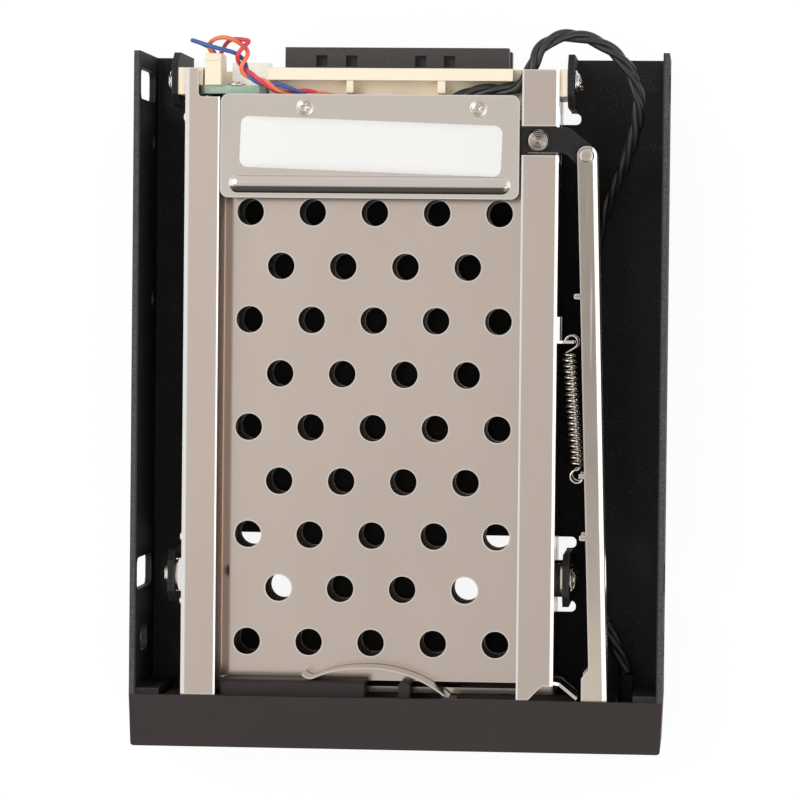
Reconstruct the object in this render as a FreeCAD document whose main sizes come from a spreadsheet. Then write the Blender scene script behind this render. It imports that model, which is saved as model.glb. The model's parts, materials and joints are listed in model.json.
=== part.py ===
import FreeCAD, Part

# A trayless bay rack for two stacked 2.5 inch drives, built to slide into one 3.5 inch bay.
#
# Frame: X to the right, Y to the rear, Z up, in millimetres. The origin is the middle of the
# rack's footprint, on the underside of the steel base. The lower bay's pieces are made once and
# the upper bay's are the same pieces one bay pitch higher.

import math
import os
import Sketcher
from FreeCAD import Placement, Rotation, Vector

# Driving dimensions: alias, millimetres, meaning.
SIZES = [
    ("frame_width", 101.6, "width of a 3.5 inch bay device"),
    ("frame_height", 25.4, "height of a 3.5 inch bay device"),
    ("frame_front", -56.95, "front edge of the steel frame, where the bezel starts"),
    ("frame_rear", 65.65, "rear edge of the steel frame"),
    ("frame_gauge", 1.2, "thickness of the black frame sheet"),
    ("bezel_front", -66.75, "front face of the bezel"),
    ("bezel_draft", 0.4, "how much each end of the bezel narrows towards its face"),
    ("cage_left", -41.15, "outer left wall of both cages"),
    ("cage_right", 30.05, "outer right wall of both cages"),
    ("cage_front", -56.9, "front end of both cages"),
    ("cage_rear", 62.5, "rear end of both cages"),
    ("cage_tall", 11.6, "height of one cage, and the pitch of the two bays"),
    ("cage_gauge", 0.5, "thickness of the stainless cage sheet"),
    ("left_flange", 6.7, "width of a cage's left top flange"),
    ("right_flange", 7.0, "width of a cage's right top flange"),
    ("field_left", -33.2, "left edge of the raised field in a cage floor"),
    ("field_right", 22.8, "right edge of the raised field in a cage floor"),
    ("field_rise", 0.8, "height of the raised field"),
    ("field_slope", 1.6, "width of the slope beside the raised field"),
    ("vent_dia", 5.15, "diameter of a floor hole"),
    ("vent_column", 12.0, "spacing of the floor holes along X"),
    ("vent_row", 10.35, "spacing of the rows of floor holes"),
    ("vent_last", 35.4, "rearmost row of floor holes"),
    ("tab_gap", 1.5, "room between a cage wall and the frame tab beside it"),
    ("tab_top", 23.2, "top of the four frame tabs"),
    ("board_front", 57.7, "front face of the backplane board"),
    ("board_gauge", 1.6, "thickness of the backplane board"),
    ("shelf_low", 20.0, "underside of the connector bracket's shelf"),
    ("shelf_gauge", 0.6, "thickness of that shelf"),
    ("port_left", -22.5, "left end of a rear port"),
    ("port_right", 20.2, "right end of a rear port"),
    ("port_rear", 66.75, "rear face of the rear ports"),
    ("pivot_x", 26.1, "rivet that an eject lever turns on"),
    ("pivot_y", 49.05, "rivet that an eject lever turns on"),
    ("link_x", 35.3, "pin that joins a lever to its bar"),
    ("link_y", 46.25, "pin that joins a lever to its bar"),
    ("lever_low", 9.45, "underside of a lever above its cage's underside"),
    ("lever_gauge", 1.2, "thickness of a lever"),
    ("bar_low", 10.75, "underside of a bar above its cage's underside"),
    ("bar_gauge", 0.8, "thickness of a bar"),
    ("hinge_x", 35.2, "axis of the doors"),
    ("hinge_y", -61.0, "axis of the doors"),
    ("barrel_radius", 5.55, "radius of a door's rounded hinge end"),
    ("crank_radius", 3.9, "distance of a door's crank pin from the hinge axis"),
    ("door_left", -40.7, "free end of a door"),
    ("door_low", 0.3, "underside of a door above its cage's underside"),
    ("door_tall", 10.25, "height of a door"),
    ("spring_radius", 1.45, "outer radius of a return spring"),
    ("spring_wire", 0.42, "wire of a return spring"),
    ("spring_high", 9.0, "axis of a return spring above its cage's underside"),
    ("loom_dia", 2.8, "thickness of the twisted power loom"),
    ("led_loom_dia", 1.65, "thickness of the twisted indicator wires"),
]

doc = FreeCAD.newDocument("DriveCage")
sheet = doc.addObject("Spreadsheet::Sheet", "Sheet")
for row, (alias, value, meaning) in enumerate(SIZES, 1):
    sheet.set(f"A{row}", meaning)
    sheet.set(f"B{row}", str(value))
    sheet.setAlias(f"B{row}", alias)
doc.recompute()


class Size:
    """A number together with the sheet formula it comes from, so that sums stay bound."""

    def __init__(self, number, formula=None):
        self.number = number
        self.formula = formula or f"({number!r})"
        self.bound = "Sheet." in self.formula

    def __add__(self, other):
        other = size(other)
        return Size(self.number + other.number, f"({self.formula} + {other.formula})")

    def __sub__(self, other):
        other = size(other)
        return Size(self.number - other.number, f"({self.formula} - {other.formula})")

    def __mul__(self, other):
        other = size(other)
        return Size(self.number * other.number, f"({self.formula} * {other.formula})")

    def __radd__(self, other):
        return size(other) + self

    def __rsub__(self, other):
        return size(other) - self

    def __rmul__(self, other):
        return size(other) * self

    def __neg__(self):
        return size(0.0) - self


def size(value):
    return value if isinstance(value, Size) else Size(float(value))


def cell(alias):
    """The size in one cell of the sheet."""
    return Size(float(sheet.get(alias)), f"Sheet.{alias}")


def bind(thing, prop, value):
    """Set one property, by formula where the size comes from the sheet."""
    value = size(value)
    if value.bound:
        thing.setExpression(prop, value.formula)
    else:
        owner, _, last = prop.rpartition(".")
        if owner:
            thing.setExpression(prop, value.formula)
        else:
            setattr(thing, last, value.number)


# ---------------------------------------------------------------- sketch and feature helpers

NORMAL = {"XY": Vector(0, 0, 1), "XZ": Vector(0, -1, 0), "YZ": Vector(1, 0, 0)}


def new_body(label, lift=0.0):
    body = doc.addObject("PartDesign::Body", label)
    body.Label = label
    bind(body, "Placement.Base.z", lift)
    return body


def new_sketch(body, plane, height):
    """A sketch on one of the body's own origin planes, at a height along the frame's own axis."""
    sketch = body.newObject("Sketcher::SketchObject", f"{body.Name}_sketch")
    origin = [f for f in body.Origin.OriginFeatures if f.Role == f"{plane}_Plane"][0]
    sketch.AttachmentSupport = [(origin, "")]
    sketch.MapMode = "FlatFace"
    bind(sketch, "AttachmentOffset.Base.z", -size(height) if plane == "XZ" else size(height))
    return sketch


def hold(sketch, kind, item, point, value):
    """Tie one coordinate of a sketch point to a size."""
    value = size(value)
    index = sketch.addConstraint(Sketcher.Constraint(kind, -1, 1, item, point, value.number))
    if value.bound:
        sketch.setExpression(f"Constraints[{index}]", value.formula)


def draw_outline(sketch, corners):
    """A closed outline of straight edges, every corner held by its two coordinates."""
    spots = [(size(c[0]), size(c[1])) for c in corners]
    first = sketch.GeometryCount
    for spot, following in zip(spots, spots[1:] + spots[:1]):
        start = Vector(spot[0].number, spot[1].number, 0)
        end = Vector(following[0].number, following[1].number, 0)
        sketch.addGeometry(Part.LineSegment(start, end))
    for i, spot in enumerate(spots):
        following = first + (i + 1) % len(spots)
        sketch.addConstraint(Sketcher.Constraint("Coincident", first + i, 2, following, 1))
        hold(sketch, "DistanceX", first + i, 1, spot[0])
        hold(sketch, "DistanceY", first + i, 1, spot[1])


def draw_circles(sketch, circles):
    for u, v, radius in circles:
        u, v, radius = size(u), size(v), size(radius)
        item = sketch.addGeometry(
            Part.Circle(Vector(u.number, v.number, 0), Vector(0, 0, 1), radius.number)
        )
        hold(sketch, "DistanceX", item, 3, u)
        hold(sketch, "DistanceY", item, 3, v)
        index = sketch.addConstraint(Sketcher.Constraint("Radius", item, radius.number))
        if radius.bound:
            sketch.setExpression(f"Constraints[{index}]", radius.formula)


def edges_at(shape, plane, spots):
    """Names of the straight edges along the plane's normal that stand on the given corners."""
    normal = NORMAL[plane]
    pick = {"XY": (0, 1), "XZ": (0, 2), "YZ": (1, 2)}[plane]
    names = []
    for number, edge in enumerate(shape.Edges, 1):
        if len(edge.Vertexes) != 2:
            continue
        a, b = edge.Vertexes[0].Point, edge.Vertexes[1].Point
        if (b - a).Length < 1e-6 or (b - a).cross(normal).Length > 1e-6 * (b - a).Length:
            continue
        for u, v in spots:
            if abs(a[pick[0]] - u) < 1e-4 and abs(a[pick[1]] - v) < 1e-4:
                names.append(f"Edge{number}")
                break
    return names


def round_corners(body, feature, plane, corners):
    """Fillet each corner of an outline that names a radius."""
    radii = sorted({size(c[2]).number for c in corners if len(c) > 2})
    for radius in radii:
        spots = [
            (size(c[0]).number, size(c[1]).number)
            for c in corners
            if len(c) > 2 and size(c[2]).number == radius
        ]
        names = edges_at(feature.Shape, plane, spots)
        if not names:
            raise ValueError(f"{body.Label}: no edge to round at {spots}")
        fillet = body.newObject("PartDesign::Fillet", f"{body.Name}_round")
        fillet.Base = (feature, names)
        fillet.Radius = radius
        doc.recompute()
        feature = fillet
    return feature


def add_feature(body, kind, plane, start, end, draw):
    start, end = size(start), size(end)
    adding = kind == "PartDesign::Pad"
    from_end = not adding and plane != "XZ"
    before = body.Shape.Volume if body.Tip else 0.0
    sketch = new_sketch(body, plane, end if from_end else start)
    draw(sketch)
    feature = body.newObject(kind, f"{body.Name}_{'pad' if adding else 'pocket'}")
    feature.Profile = sketch
    bind(feature, "Length", end - start)
    feature.Reversed = adding and plane == "XZ"
    doc.recompute()
    change = feature.Shape.Volume - before
    if change * (1 if adding else -1) < 1e-4:
        raise ValueError(f"{feature.Name} changed nothing between {start.number} and {end.number}")
    return feature


def pad(body, plane, corners, start, end):
    """Add a prism on an outline; a corner may carry a radius as its third value."""
    feature = add_feature(
        body, "PartDesign::Pad", plane, start, end, lambda s: draw_outline(s, corners)
    )
    return round_corners(body, feature, plane, corners)


def pocket(body, plane, corners, start, end):
    """Cut a prism on an outline; a corner may carry a radius as its third value."""
    feature = add_feature(
        body, "PartDesign::Pocket", plane, start, end, lambda s: draw_outline(s, corners)
    )
    return round_corners(body, feature, plane, corners)


def pad_rounds(body, plane, circles, start, end):
    return add_feature(
        body, "PartDesign::Pad", plane, start, end, lambda s: draw_circles(s, circles)
    )


def drill(body, plane, circles, start, end):
    return add_feature(
        body, "PartDesign::Pocket", plane, start, end, lambda s: draw_circles(s, circles)
    )


def box(left, right, low, high, radius=None):
    """The four corners of a rectangle."""
    corners = [(left, low), (right, low), (right, high), (left, high)]
    return [c + (radius,) for c in corners] if radius else corners


def block(name, lows, highs):
    """A plain Part box between two corners."""
    solid = doc.addObject("Part::Box", name)
    for axis, length, low, high in zip("xyz", ("Length", "Width", "Height"), lows, highs):
        bind(solid, f"Placement.Base.{axis}", low)
        bind(solid, length, size(high) - size(low))
    return solid


def rod(name, foot, direction, radius, length):
    """A plain Part cylinder from a foot point along a direction."""
    solid = doc.addObject("Part::Cylinder", name)
    solid.Placement = Placement(Vector(), Rotation(Vector(0, 0, 1), Vector(*direction)))
    for axis, value in zip("xyz", foot):
        bind(solid, f"Placement.Base.{axis}", value)
    bind(solid, "Radius", radius)
    bind(solid, "Height", length)
    return solid


def join(name, parts):
    solid = doc.addObject("Part::MultiFuse", name)
    solid.Shapes = parts
    return solid


def subtract(name, base, tools):
    solid = doc.addObject("Part::Cut", name)
    solid.Base = base
    solid.Tool = tools[0] if len(tools) == 1 else join(f"{name}_tools", tools)
    return solid


def common(name, base, tool):
    solid = doc.addObject("Part::Common", name)
    solid.Base, solid.Tool = base, tool
    return solid


def rounded_bar(name, left, right, y, height, radius):
    """A round bar along X with a half ball at each end."""
    pieces = [rod(f"{name}_bar", (left, y, height), (1, 0, 0), radius, size(right) - left)]
    for side, x in (("left", left), ("right", right)):
        ball = doc.addObject("Part::Sphere", f"{name}_{side}")
        for axis, value in zip("xyz", (x, y, height)):
            bind(ball, f"Placement.Base.{axis}", value)
        bind(ball, "Radius", radius)
        pieces.append(ball)
    return join(name, pieces)


def group(name, parts):
    """Several separate solids that are one kind of fastener."""
    solid = doc.addObject("Part::Compound", name)
    solid.Links = parts
    return solid


nodes = {}


def keep(name, thing):
    """Name a finished sub-part; its label names its file."""
    thing.Label = name
    nodes[name] = thing
    return thing


# ---------------------------------------------------------------- shared places

GAUGE = cell("frame_gauge")
CAGE_GAUGE = cell("cage_gauge")
CAGE_TALL = cell("cage_tall")
LEFT, RIGHT = cell("cage_left"), cell("cage_right")
HALF_WIDTH = cell("frame_width") * 0.5
HALF_INSIDE = HALF_WIDTH - GAUGE
MIDDLE = (LEFT + RIGHT) * 0.5
BAYS = {"lower": GAUGE, "upper": GAUGE + CAGE_TALL}
SCREW_Y = {"rear": 60.4, "front": -34.4}
SCREW_Z = 5.8
TAB_RIGHT = RIGHT + cell("tab_gap")
TAB_LEFT = LEFT - cell("tab_gap")


# ---------------------------------------------------------------- frame

def make_outer_frame():
    """One sheet bent into a channel: base, two walls, front flanges and four bent-up tabs."""
    body = new_body("outer_frame")
    top = cell("frame_height")
    front, rear = cell("frame_front"), cell("frame_rear")
    channel = [
        (-HALF_WIDTH, 0, 1.6), (HALF_WIDTH, 0, 1.6), (HALF_WIDTH, top), (HALF_INSIDE, top),
        (HALF_INSIDE, GAUGE, 0.4), (-HALF_INSIDE, GAUGE, 0.4), (-HALF_INSIDE, top),
        (-HALF_WIDTH, top),
    ]
    pad(body, "XZ", channel, front, rear)
    flange_reach, flange_low, flange_top = 4.4, 1.8, 25.0
    for side in (-1, 1):
        inner, outer = side * (HALF_INSIDE - flange_reach), side * (HALF_INSIDE + 0.6)
        flange = box(inner, outer, flange_low, flange_top)
        pad(body, "XZ", flange if side > 0 else flange[::-1], front, front + GAUGE)
    # Openings that the tabs leave in the base: a window with a relief lobe at each end of a tab.
    reach, lobe = 22.2, 1.9
    for side, inner in ((1, TAB_RIGHT), (-1, TAB_LEFT)):
        far, out = inner - side * reach, inner + side * lobe
        window = [
            (far, -41.8, 1.0), (out, -41.8, 1.0), (out, -39.6, 1.0), (inner, -39.6),
            (inner, -29.3), (out, -29.3, 1.0), (out, -27.1, 1.0), (far, -27.1, 1.0),
        ]
        pocket(body, "XY", window, -0.5, GAUGE + 0.3)
        notch = [
            (far, 53.1, 1.0), (out, 53.1, 1.0), (out, 55.3, 1.0), (inner, 55.3),
            (inner, rear + 1), (far, rear + 1),
        ]
        pocket(body, "XY", notch, -0.5, GAUGE + 0.3)
    low, tab_top = GAUGE * 0.5, cell("tab_top")
    for inner in (TAB_RIGHT, TAB_LEFT - GAUGE):
        rear_tab = [
            (55.5, low), (rear, low), (rear, tab_top - 3.6, 0.6), (rear - 2.4, tab_top, 0.6),
            (57.6, tab_top, 0.6), (55.5, tab_top - 2.6, 0.6),
        ]
        front_tab = [
            (-39.4, low), (-29.5, low), (-29.5, tab_top - 2.6, 0.6), (-31.6, tab_top, 0.6),
            (-37.3, tab_top, 0.6), (-39.4, tab_top - 2.6, 0.6),
        ]
        for tab in (rear_tab, front_tab):
            pad(body, "YZ", tab, inner, inner + GAUGE)
        drill(
            body, "YZ",
            [(y, lift + SCREW_Z, 1.3) for y in SCREW_Y.values() for lift in BAYS.values()],
            inner - 0.1, inner + GAUGE + 0.1,
        )
    # Slots for the bay's own screws, and two tapped holes low on each wall.
    for outer in (HALF_INSIDE - 0.2, -HALF_WIDTH - 0.2):
        for slot in (box(56.6, 62.5, 4.6, 24.0, 1.6), box(-37.2, -31.1, 4.6, 24.0, 1.6),
                     box(-49.3, -44.7, 10.0, 18.4, 1.4)):
            pocket(body, "YZ", slot, outer, outer + GAUGE + 0.4)
        drill(body, "YZ", [(48.9, 6.35, 1.3), (18.5, 6.35, 1.3)], outer, outer + GAUGE + 0.4)
    return keep("outer_frame", body)


# ---------------------------------------------------------------- drive cages

def vent_circles():
    """Nine rows of floor holes, five and four by turns, each four set half a column over."""
    radius = cell("vent_dia") * 0.5
    circles = []
    for row in range(9):
        count = 5 if row % 2 == 0 else 4
        for column in range(count):
            x = MIDDLE + cell("vent_column") * (column - (count - 1) / 2)
            circles.append((x, cell("vent_last") - cell("vent_row") * row, radius))
    return circles


def make_cage(level, lift):
    """A stainless tray with a raised, pierced floor and a flange on top of each wall."""
    body = new_body(f"drive_cage_{level}", lift)
    sheet_thick, top, rise = CAGE_GAUGE, CAGE_TALL, cell("field_rise")
    front, rear = cell("cage_front"), cell("cage_rear")
    field_left, field_right, slope = cell("field_left"), cell("field_right"), cell("field_slope")
    left_tip, right_tip = LEFT + cell("left_flange"), RIGHT - cell("right_flange")
    section = [
        (left_tip, top), (LEFT, top, 0.9), (LEFT, 0, 0.9), (field_left - slope, 0),
        (field_left, rise), (field_right, rise), (field_right + slope, 0), (RIGHT, 0, 0.9),
        (RIGHT, top, 0.9), (right_tip, top), (right_tip, top - sheet_thick),
        (RIGHT - sheet_thick, top - sheet_thick, 0.4), (RIGHT - sheet_thick, sheet_thick, 0.4),
        (field_right + slope - 0.15, sheet_thick), (field_right - 0.15, rise + sheet_thick),
        (field_left + 0.15, rise + sheet_thick), (field_left - slope + 0.15, sheet_thick),
        (LEFT + sheet_thick, sheet_thick, 0.4), (LEFT + sheet_thick, top - sheet_thick, 0.4),
        (left_tip, top - sheet_thick),
    ]
    pad(body, "XZ", section, front, rear)
    # The floor stops short of the backplane board; the left flange narrows beside it.
    pocket(body, "XY", box(LEFT + 1.2, RIGHT - 1.2, 57.2, rear + 1), -0.5, 2.0)
    narrow = [(LEFT + 2.6, 57.0, 0.8), (left_tip + 1, 57.0), (left_tip + 1, rear + 1),
              (LEFT + 2.6, rear + 1)]
    pocket(body, "XY", narrow, top - 1.0, top + 0.5)
    # The right flange is cut back at its outer front corner, beside the door's hinge end.
    relief = [(25.4, front - 1), (RIGHT + 1, front - 1), (RIGHT + 1, front + 2.7),
              (27.9, front + 2.7, 0.8), (25.4, front + 0.1)]
    pocket(body, "XY", relief, top - 0.95, top + 0.5)
    # The raised field ends in a slope and a flat lip at the front of the floor.
    field_ends = (field_left - slope, field_right + slope)
    lip = front + 2.4
    pocket(body, "XY", box(*field_ends, front - 1, lip), -0.5, rise + sheet_thick + 0.1)
    slope_section = [
        (front, 0), (front + 1.4, 0), (lip + 0.2, rise), (lip + 0.2, rise + sheet_thick),
        (lip - 0.1, rise + sheet_thick), (front + 1.1, sheet_thick), (front, sheet_thick),
    ]
    pad(body, "YZ", slope_section, field_ends[0] - 0.1, field_ends[1] + 0.1)
    # The eject lever passes through a gap in the flange and a window in the wall below it.
    pocket(body, "XY", box(right_tip - 1, RIGHT + 1, 46.3, 51.8), top - 0.7, top + 0.5)
    lever_low = cell("lever_low")
    pocket(body, "YZ", box(45.0, 55.6, lever_low - 0.1, top - 0.55), RIGHT - 1.0, RIGHT + 1.0)
    ledge = [(22.9, 46.8, 1.5), (RIGHT - 0.2, 46.8), (RIGHT - 0.2, 51.3), (22.9, 51.3, 1.5)]
    pad(body, "XY", ledge, lever_low - 0.6, lever_low - 0.1)
    drill(body, "XY", [(cell("pivot_x"), cell("pivot_y"), 1.25)], lever_low - 1.0, lever_low)
    # A lanced tab on the right wall carries the return spring's hook.
    pad(body, "XY", box(RIGHT - 0.1, RIGHT + sheet_thick, 10.8, 15.8), 6.6, 10.6)
    pad(body, "XZ", box(RIGHT + 0.1, 33.3, 6.6, 10.6), 10.8, 11.3)
    drill(body, "XZ", [(31.5, cell("spring_high"), 0.6)], 10.5, 11.6)
    # The right wall flares outward at its front as a lead for the door's hinge end.
    pocket(body, "XY", box(RIGHT - 0.9, RIGHT + 1, front - 1, -53.6), 0.95, top - 0.95)
    ear = [(RIGHT - 0.5, -53.95), (RIGHT - 0.1, -53.4), (31.3, -53.6), (34.7, -56.4),
           (34.4, -56.85), (31.1, -54.15)]
    pad(body, "XY", ear, 1.0, top - 1.0)
    # Pressed bosses reach the front tabs, and every screw has its hole.
    pad_rounds(body, "YZ", [(SCREW_Y["front"], SCREW_Z, 3.2)], RIGHT - 0.2, TAB_RIGHT)
    pad_rounds(body, "YZ", [(SCREW_Y["front"], SCREW_Z, 3.2)], TAB_LEFT, LEFT + 0.2)
    holes = [(y, SCREW_Z, 1.2) for y in SCREW_Y.values()]
    drill(body, "YZ", holes, LEFT - 2, LEFT + 1)
    drill(body, "YZ", holes, RIGHT - 1, RIGHT + 2)
    # Windows at the rear that the connector bracket's ears reach through.
    for wall in (LEFT - 0.2, RIGHT - CAGE_GAUGE - 0.2):
        pocket(body, "YZ", box(58.4, 61.5, 8.7, 10.6), wall, wall + CAGE_GAUGE + 0.4)
    drill(body, "XY", vent_circles(), -0.5, 2.0)
    return keep(f"drive_cage_{level}", body)


# ---------------------------------------------------------------- rear electronics

COVER_SCREWS = [(-18.2, 55.1), (14.8, 55.1)]
BOARD_SCREW = (-31.6, 21.0)


def make_connector_cover():
    """A bright plate over the connectors, with a pressed bead along its front edge."""
    top = GAUGE + CAGE_TALL * 2
    low = top - CAGE_GAUGE
    sheet_body = new_body("cover_sheet")
    pad(sheet_body, "XY", box(-34.3, 22.6, 37.9, 57.6, 1.6), low, top)
    drill(sheet_body, "XY", [(x, y, 1.05) for x, y in COVER_SCREWS], low - 0.2, top + 0.2)
    # The bead is the top of a round bar with round ends, hollow underneath.
    bead_rise, bead_radius, bead_y = 0.6, 2.7, 40.5
    bead_z = top + bead_rise - bead_radius
    outer = rounded_bar("cover_bead_outside", -30.9, 19.3, bead_y, bead_z, bead_radius)
    inner = rounded_bar("cover_bead_inside", -30.9, 19.3, bead_y, bead_z, bead_radius - CAGE_GAUGE)
    slab = block("cover_bead_room", (-34.0, 37.9, low), (22.3, 43.5, top + 1.0))
    bead = common("cover_bead", outer, slab)
    return keep("connector_cover", subtract("cover", join("cover_pressing", [sheet_body, bead]), [inner]))


def make_cover_screws():
    screws = []
    top = GAUGE + CAGE_TALL * 2
    for index, (x, y) in enumerate(COVER_SCREWS):
        head = doc.addObject("Part::Cone", f"cover_screw_head_{index}")
        head.Placement.Base = Vector(x, y, 0)
        bind(head, "Placement.Base.z", top)
        head.Radius1, head.Radius2, head.Height = 1.7, 1.2, 0.35
        shank = rod(f"cover_screw_shank_{index}", (x, y, 20.0), (0, 0, 1), 1.0, top - 20.0)
        screws.append(join(f"cover_screw_{index}", [head, shank]))
    return keep("cover_screws", group("cover_screws", screws))


def make_connector_bracket():
    """The ivory moulding that carries the ports, with a ribbed shelf over the board."""
    body = new_body("connector_bracket")
    shelf, shelf_top = cell("shelf_low"), cell("shelf_low") + cell("shelf_gauge")
    inner_right = RIGHT - CAGE_GAUGE
    back = cell("board_front") + cell("board_gauge")
    rear = 62.6
    cover_low = GAUGE + CAGE_TALL * 2 - CAGE_GAUGE
    plate = [
        (-38.45, GAUGE), (22.8, GAUGE), (22.8, shelf_top), (-25.4, shelf_top), (-25.4, 9.2, 0.6),
        (-37.9, 9.2, 0.6), (-37.9, 23.0), (-39.2, 23.0), (-39.2, 13.1), (-38.45, 13.1),
    ]
    pad(body, "XZ", plate, back, rear)
    for level, lift in BAYS.items():
        opening = box(cell("port_left"), cell("port_right"), lift + 1.9, lift + 6.9)
        pocket(body, "XZ", opening, back - 0.5, rear + 0.5)
    trough = [
        (-25.4, 53.0, 1.0), (inner_right - 3.0, 53.0, 1.0), (inner_right - 3.0, back + 0.5),
        (-25.4, back + 0.5),
    ]
    pad(body, "XY", trough, shelf, shelf_top)
    pad(body, "XY", box(-25.4, 21.2, 60.3, rear), shelf_top, 23.8)
    for left, right in ((-10.4, -9.1), (6.9, 8.4)):
        pad(body, "XY", box(left, right, 57.9, 60.4), shelf_top, 23.4)
    pad_rounds(body, "XY", [(x, y, 1.9) for x, y in COVER_SCREWS], shelf_top, cover_low)
    drill(body, "XY", [(x, y, 1.0) for x, y in COVER_SCREWS], shelf_top - 0.6, cover_low + 0.1)
    # Side arms fill the room between the cages and the tabs; ears join them through the walls.
    sides = (
        (TAB_LEFT, LEFT, LEFT - 0.1, -38.3, ("lower", "upper")),
        (RIGHT, TAB_RIGHT, 22.7, RIGHT + 0.1, ("lower",)),
    )
    for low, high, ear_left, ear_right, levels in sides:
        for level in levels:
            foot = BAYS[level] + 8.9
            pad(body, "XY", box(ear_left, ear_right, back + 0.2, 61.3), foot, foot + 1.5)
        pad(body, "XY", box(low, high, 57.5, rear), GAUGE, 23.0)
        drill(body, "YZ", [(SCREW_Y["rear"], lift + SCREW_Z, 1.3) for lift in BAYS.values()],
              low - 0.1, high + 0.1)
    return keep("connector_bracket", body)


def make_backplane_board():
    """The green board, with a tongue that stands up at the left for the indicator header."""
    body = new_body("backplane_board")
    front, gauge = cell("board_front"), cell("board_gauge")
    outline = [
        (-38.3, 2.2), (22.6, 2.2), (22.6, 19.6), (-26.1, 19.6), (-26.1, 21.2), (-27.2, 22.3),
        (-37.7, 22.3), (-38.3, 21.7),
    ]
    pad(body, "XZ", outline, front, front + gauge)
    drill(body, "XZ", [(BOARD_SCREW[0], BOARD_SCREW[1], 1.05)], front - 0.2, front + gauge + 0.2)
    return keep("backplane_board", body)


def make_board_screws():
    screws = []
    seat = cell("board_front") + cell("board_gauge")
    x, z = BOARD_SCREW
    head = rod("board_screw_head", (x, seat, z), (0, 1, 0), 1.9, 0.9)
    shank = rod("board_screw_shank", (x, 56.2, z), (0, 1, 0), 1.0, seat - 56.2 + 0.3)
    screws.append(join("board_screw", [head, shank]))
    return keep("board_screws", group("board_screws", screws))


def make_port(level, lift):
    """A rear port: a black shell round two L-shaped contact blades, open to the rear."""
    body = new_body(f"sata_port_{level}", lift)
    left, right, rear = cell("port_left"), cell("port_right"), cell("port_rear")
    front = cell("board_front") + cell("board_gauge")
    low, high = 1.9, 6.9
    pad(body, "XZ", box(left, right, low, high), front, rear)
    for start, end in ((left + 3.2, left + 15.0), (left + 17.4, right - 3.2)):
        pocket(body, "XZ", box(start, end, low + 0.8, high - 0.8, 0.3), 61.6, rear)
        blade = [(start + 1.0, 3.9), (end - 1.0, 3.9), (end - 1.0, 5.1), (start + 2.2, 5.1),
                 (start + 2.2, 5.9), (start + 1.0, 5.9)]
        pad(body, "XZ", blade, 61.4, rear - 0.6)
    # Square windows through the shell's top.
    for x in (-15.5, -9.8, 3.4, 8.9):
        pocket(body, "XY", box(x - 1.05, x + 1.05, 63.1, 65.2), high - 0.9, high + 0.1)
    return keep(f"sata_port_{level}", body)


def make_drive_socket(level, lift):
    """The socket a drive slides onto, open to the front."""
    body = new_body(f"drive_socket_{level}", lift)
    rear = cell("board_front")
    left, right, low, high = -35.5, 2.5, 2.3, 7.0
    outline = [(left, low, 0.5), (right, low, 0.5), (right, high, 0.5), (left, high, 0.5)]
    pad(body, "XZ", outline, 50.3, rear)
    for start, end in ((left + 2.0, left + 13.0), (left + 14.6, right - 2.0)):
        slot = [(start, 4.1), (end, 4.1), (end, 5.6), (start + 1.6, 5.6), (start + 1.6, 6.3),
                (start, 6.3)]
        pocket(body, "XZ", slot, 50.3, 56.0)
    for post in (left - 1.2, right):
        pad(body, "XZ", box(post, post + 1.2, 3.2, 5.9), 48.6, rear)
    return keep(f"drive_socket_{level}", body)


def make_headers():
    """Board headers for the indicator wires and for power, and the plugs in them."""
    seat = cell("board_front") + cell("board_gauge")
    header = subtract(
        "led_header",
        block("led_header_shell", (-37.5, seat, 14.6), (-34.4, 63.9, 23.4)),
        [block("led_header_mouth", (-37.0, 60.6, 15.1), (-34.9, 64.0, 22.9))],
    )
    keep("led_header", header)
    plug = join("led_plug", [
        block("led_plug_body", (-37.0, 60.6, 15.1), (-34.9, 63.9, 22.9)),
        block("led_plug_collar", (-37.5, 63.9, 14.8), (-34.4, 65.3, 23.2)),
    ])
    keep("led_plug", plug)
    power = subtract(
        "power_header",
        block("power_header_shell", (-33.2, seat, 10.2), (-26.0, 64.0, 15.2)),
        [block("power_header_mouth", (-32.6, 60.8, 10.8), (-26.6, 64.1, 14.6))],
    )
    keep("power_header", power)
    socket = join("loom_plug", [
        block("loom_plug_body", (3.0, 53.6, 20.6), (9.2, 57.0, 23.6)),
        block("loom_plug_rib", (4.6, 57.0, 20.6), (7.6, 57.5, 22.8)),
    ])
    keep("loom_plug", socket)
    keep("led_joint_plug", block("led_joint_plug", (-6.4, 54.0, 20.6), (-2.4, 57.0, 23.0)))
    front = join("front_plug", [
        block("front_plug_body", (42.5, -58.0, 2.0), (44.9, -53.4, 7.4)),
        block("front_plug_rib", (42.9, -54.6, 1.5), (44.5, -53.4, 2.0)),
    ])
    keep("front_plug", front)


# ---------------------------------------------------------------- eject mechanism

def make_lever(level, lift):
    """A black bell crank: its outer end is pulled by the bar, its inner end pushes the drive."""
    body = new_body(f"eject_lever_{level}", lift)
    low = cell("lever_low")
    high = low + cell("lever_gauge")
    outline = [
        (12.6, 46.9, 0.6), (31.2, 46.9, 1.6), (33.9, 44.3, 1.6), (36.6, 44.4, 1.6),
        (37.2, 47.4, 1.8), (31.9, 51.7, 2.4), (20.0, 51.5, 3.0), (12.6, 49.2, 0.8),
    ]
    pad(body, "XY", outline, low, high)
    lip = [(12.8, 46.9), (16.4, 46.9), (16.4, 48.0), (12.8, 48.0)]
    pad(body, "XY", lip, 5.2, low + 0.1)
    drill(body, "XY", [(cell("pivot_x"), cell("pivot_y"), 1.3)], low - 0.1, high + 0.1)
    drill(body, "XY", [(cell("link_x"), cell("link_y"), 0.7)], low - 0.1, high + 0.1)
    return keep(f"eject_lever_{level}", body)


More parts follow.
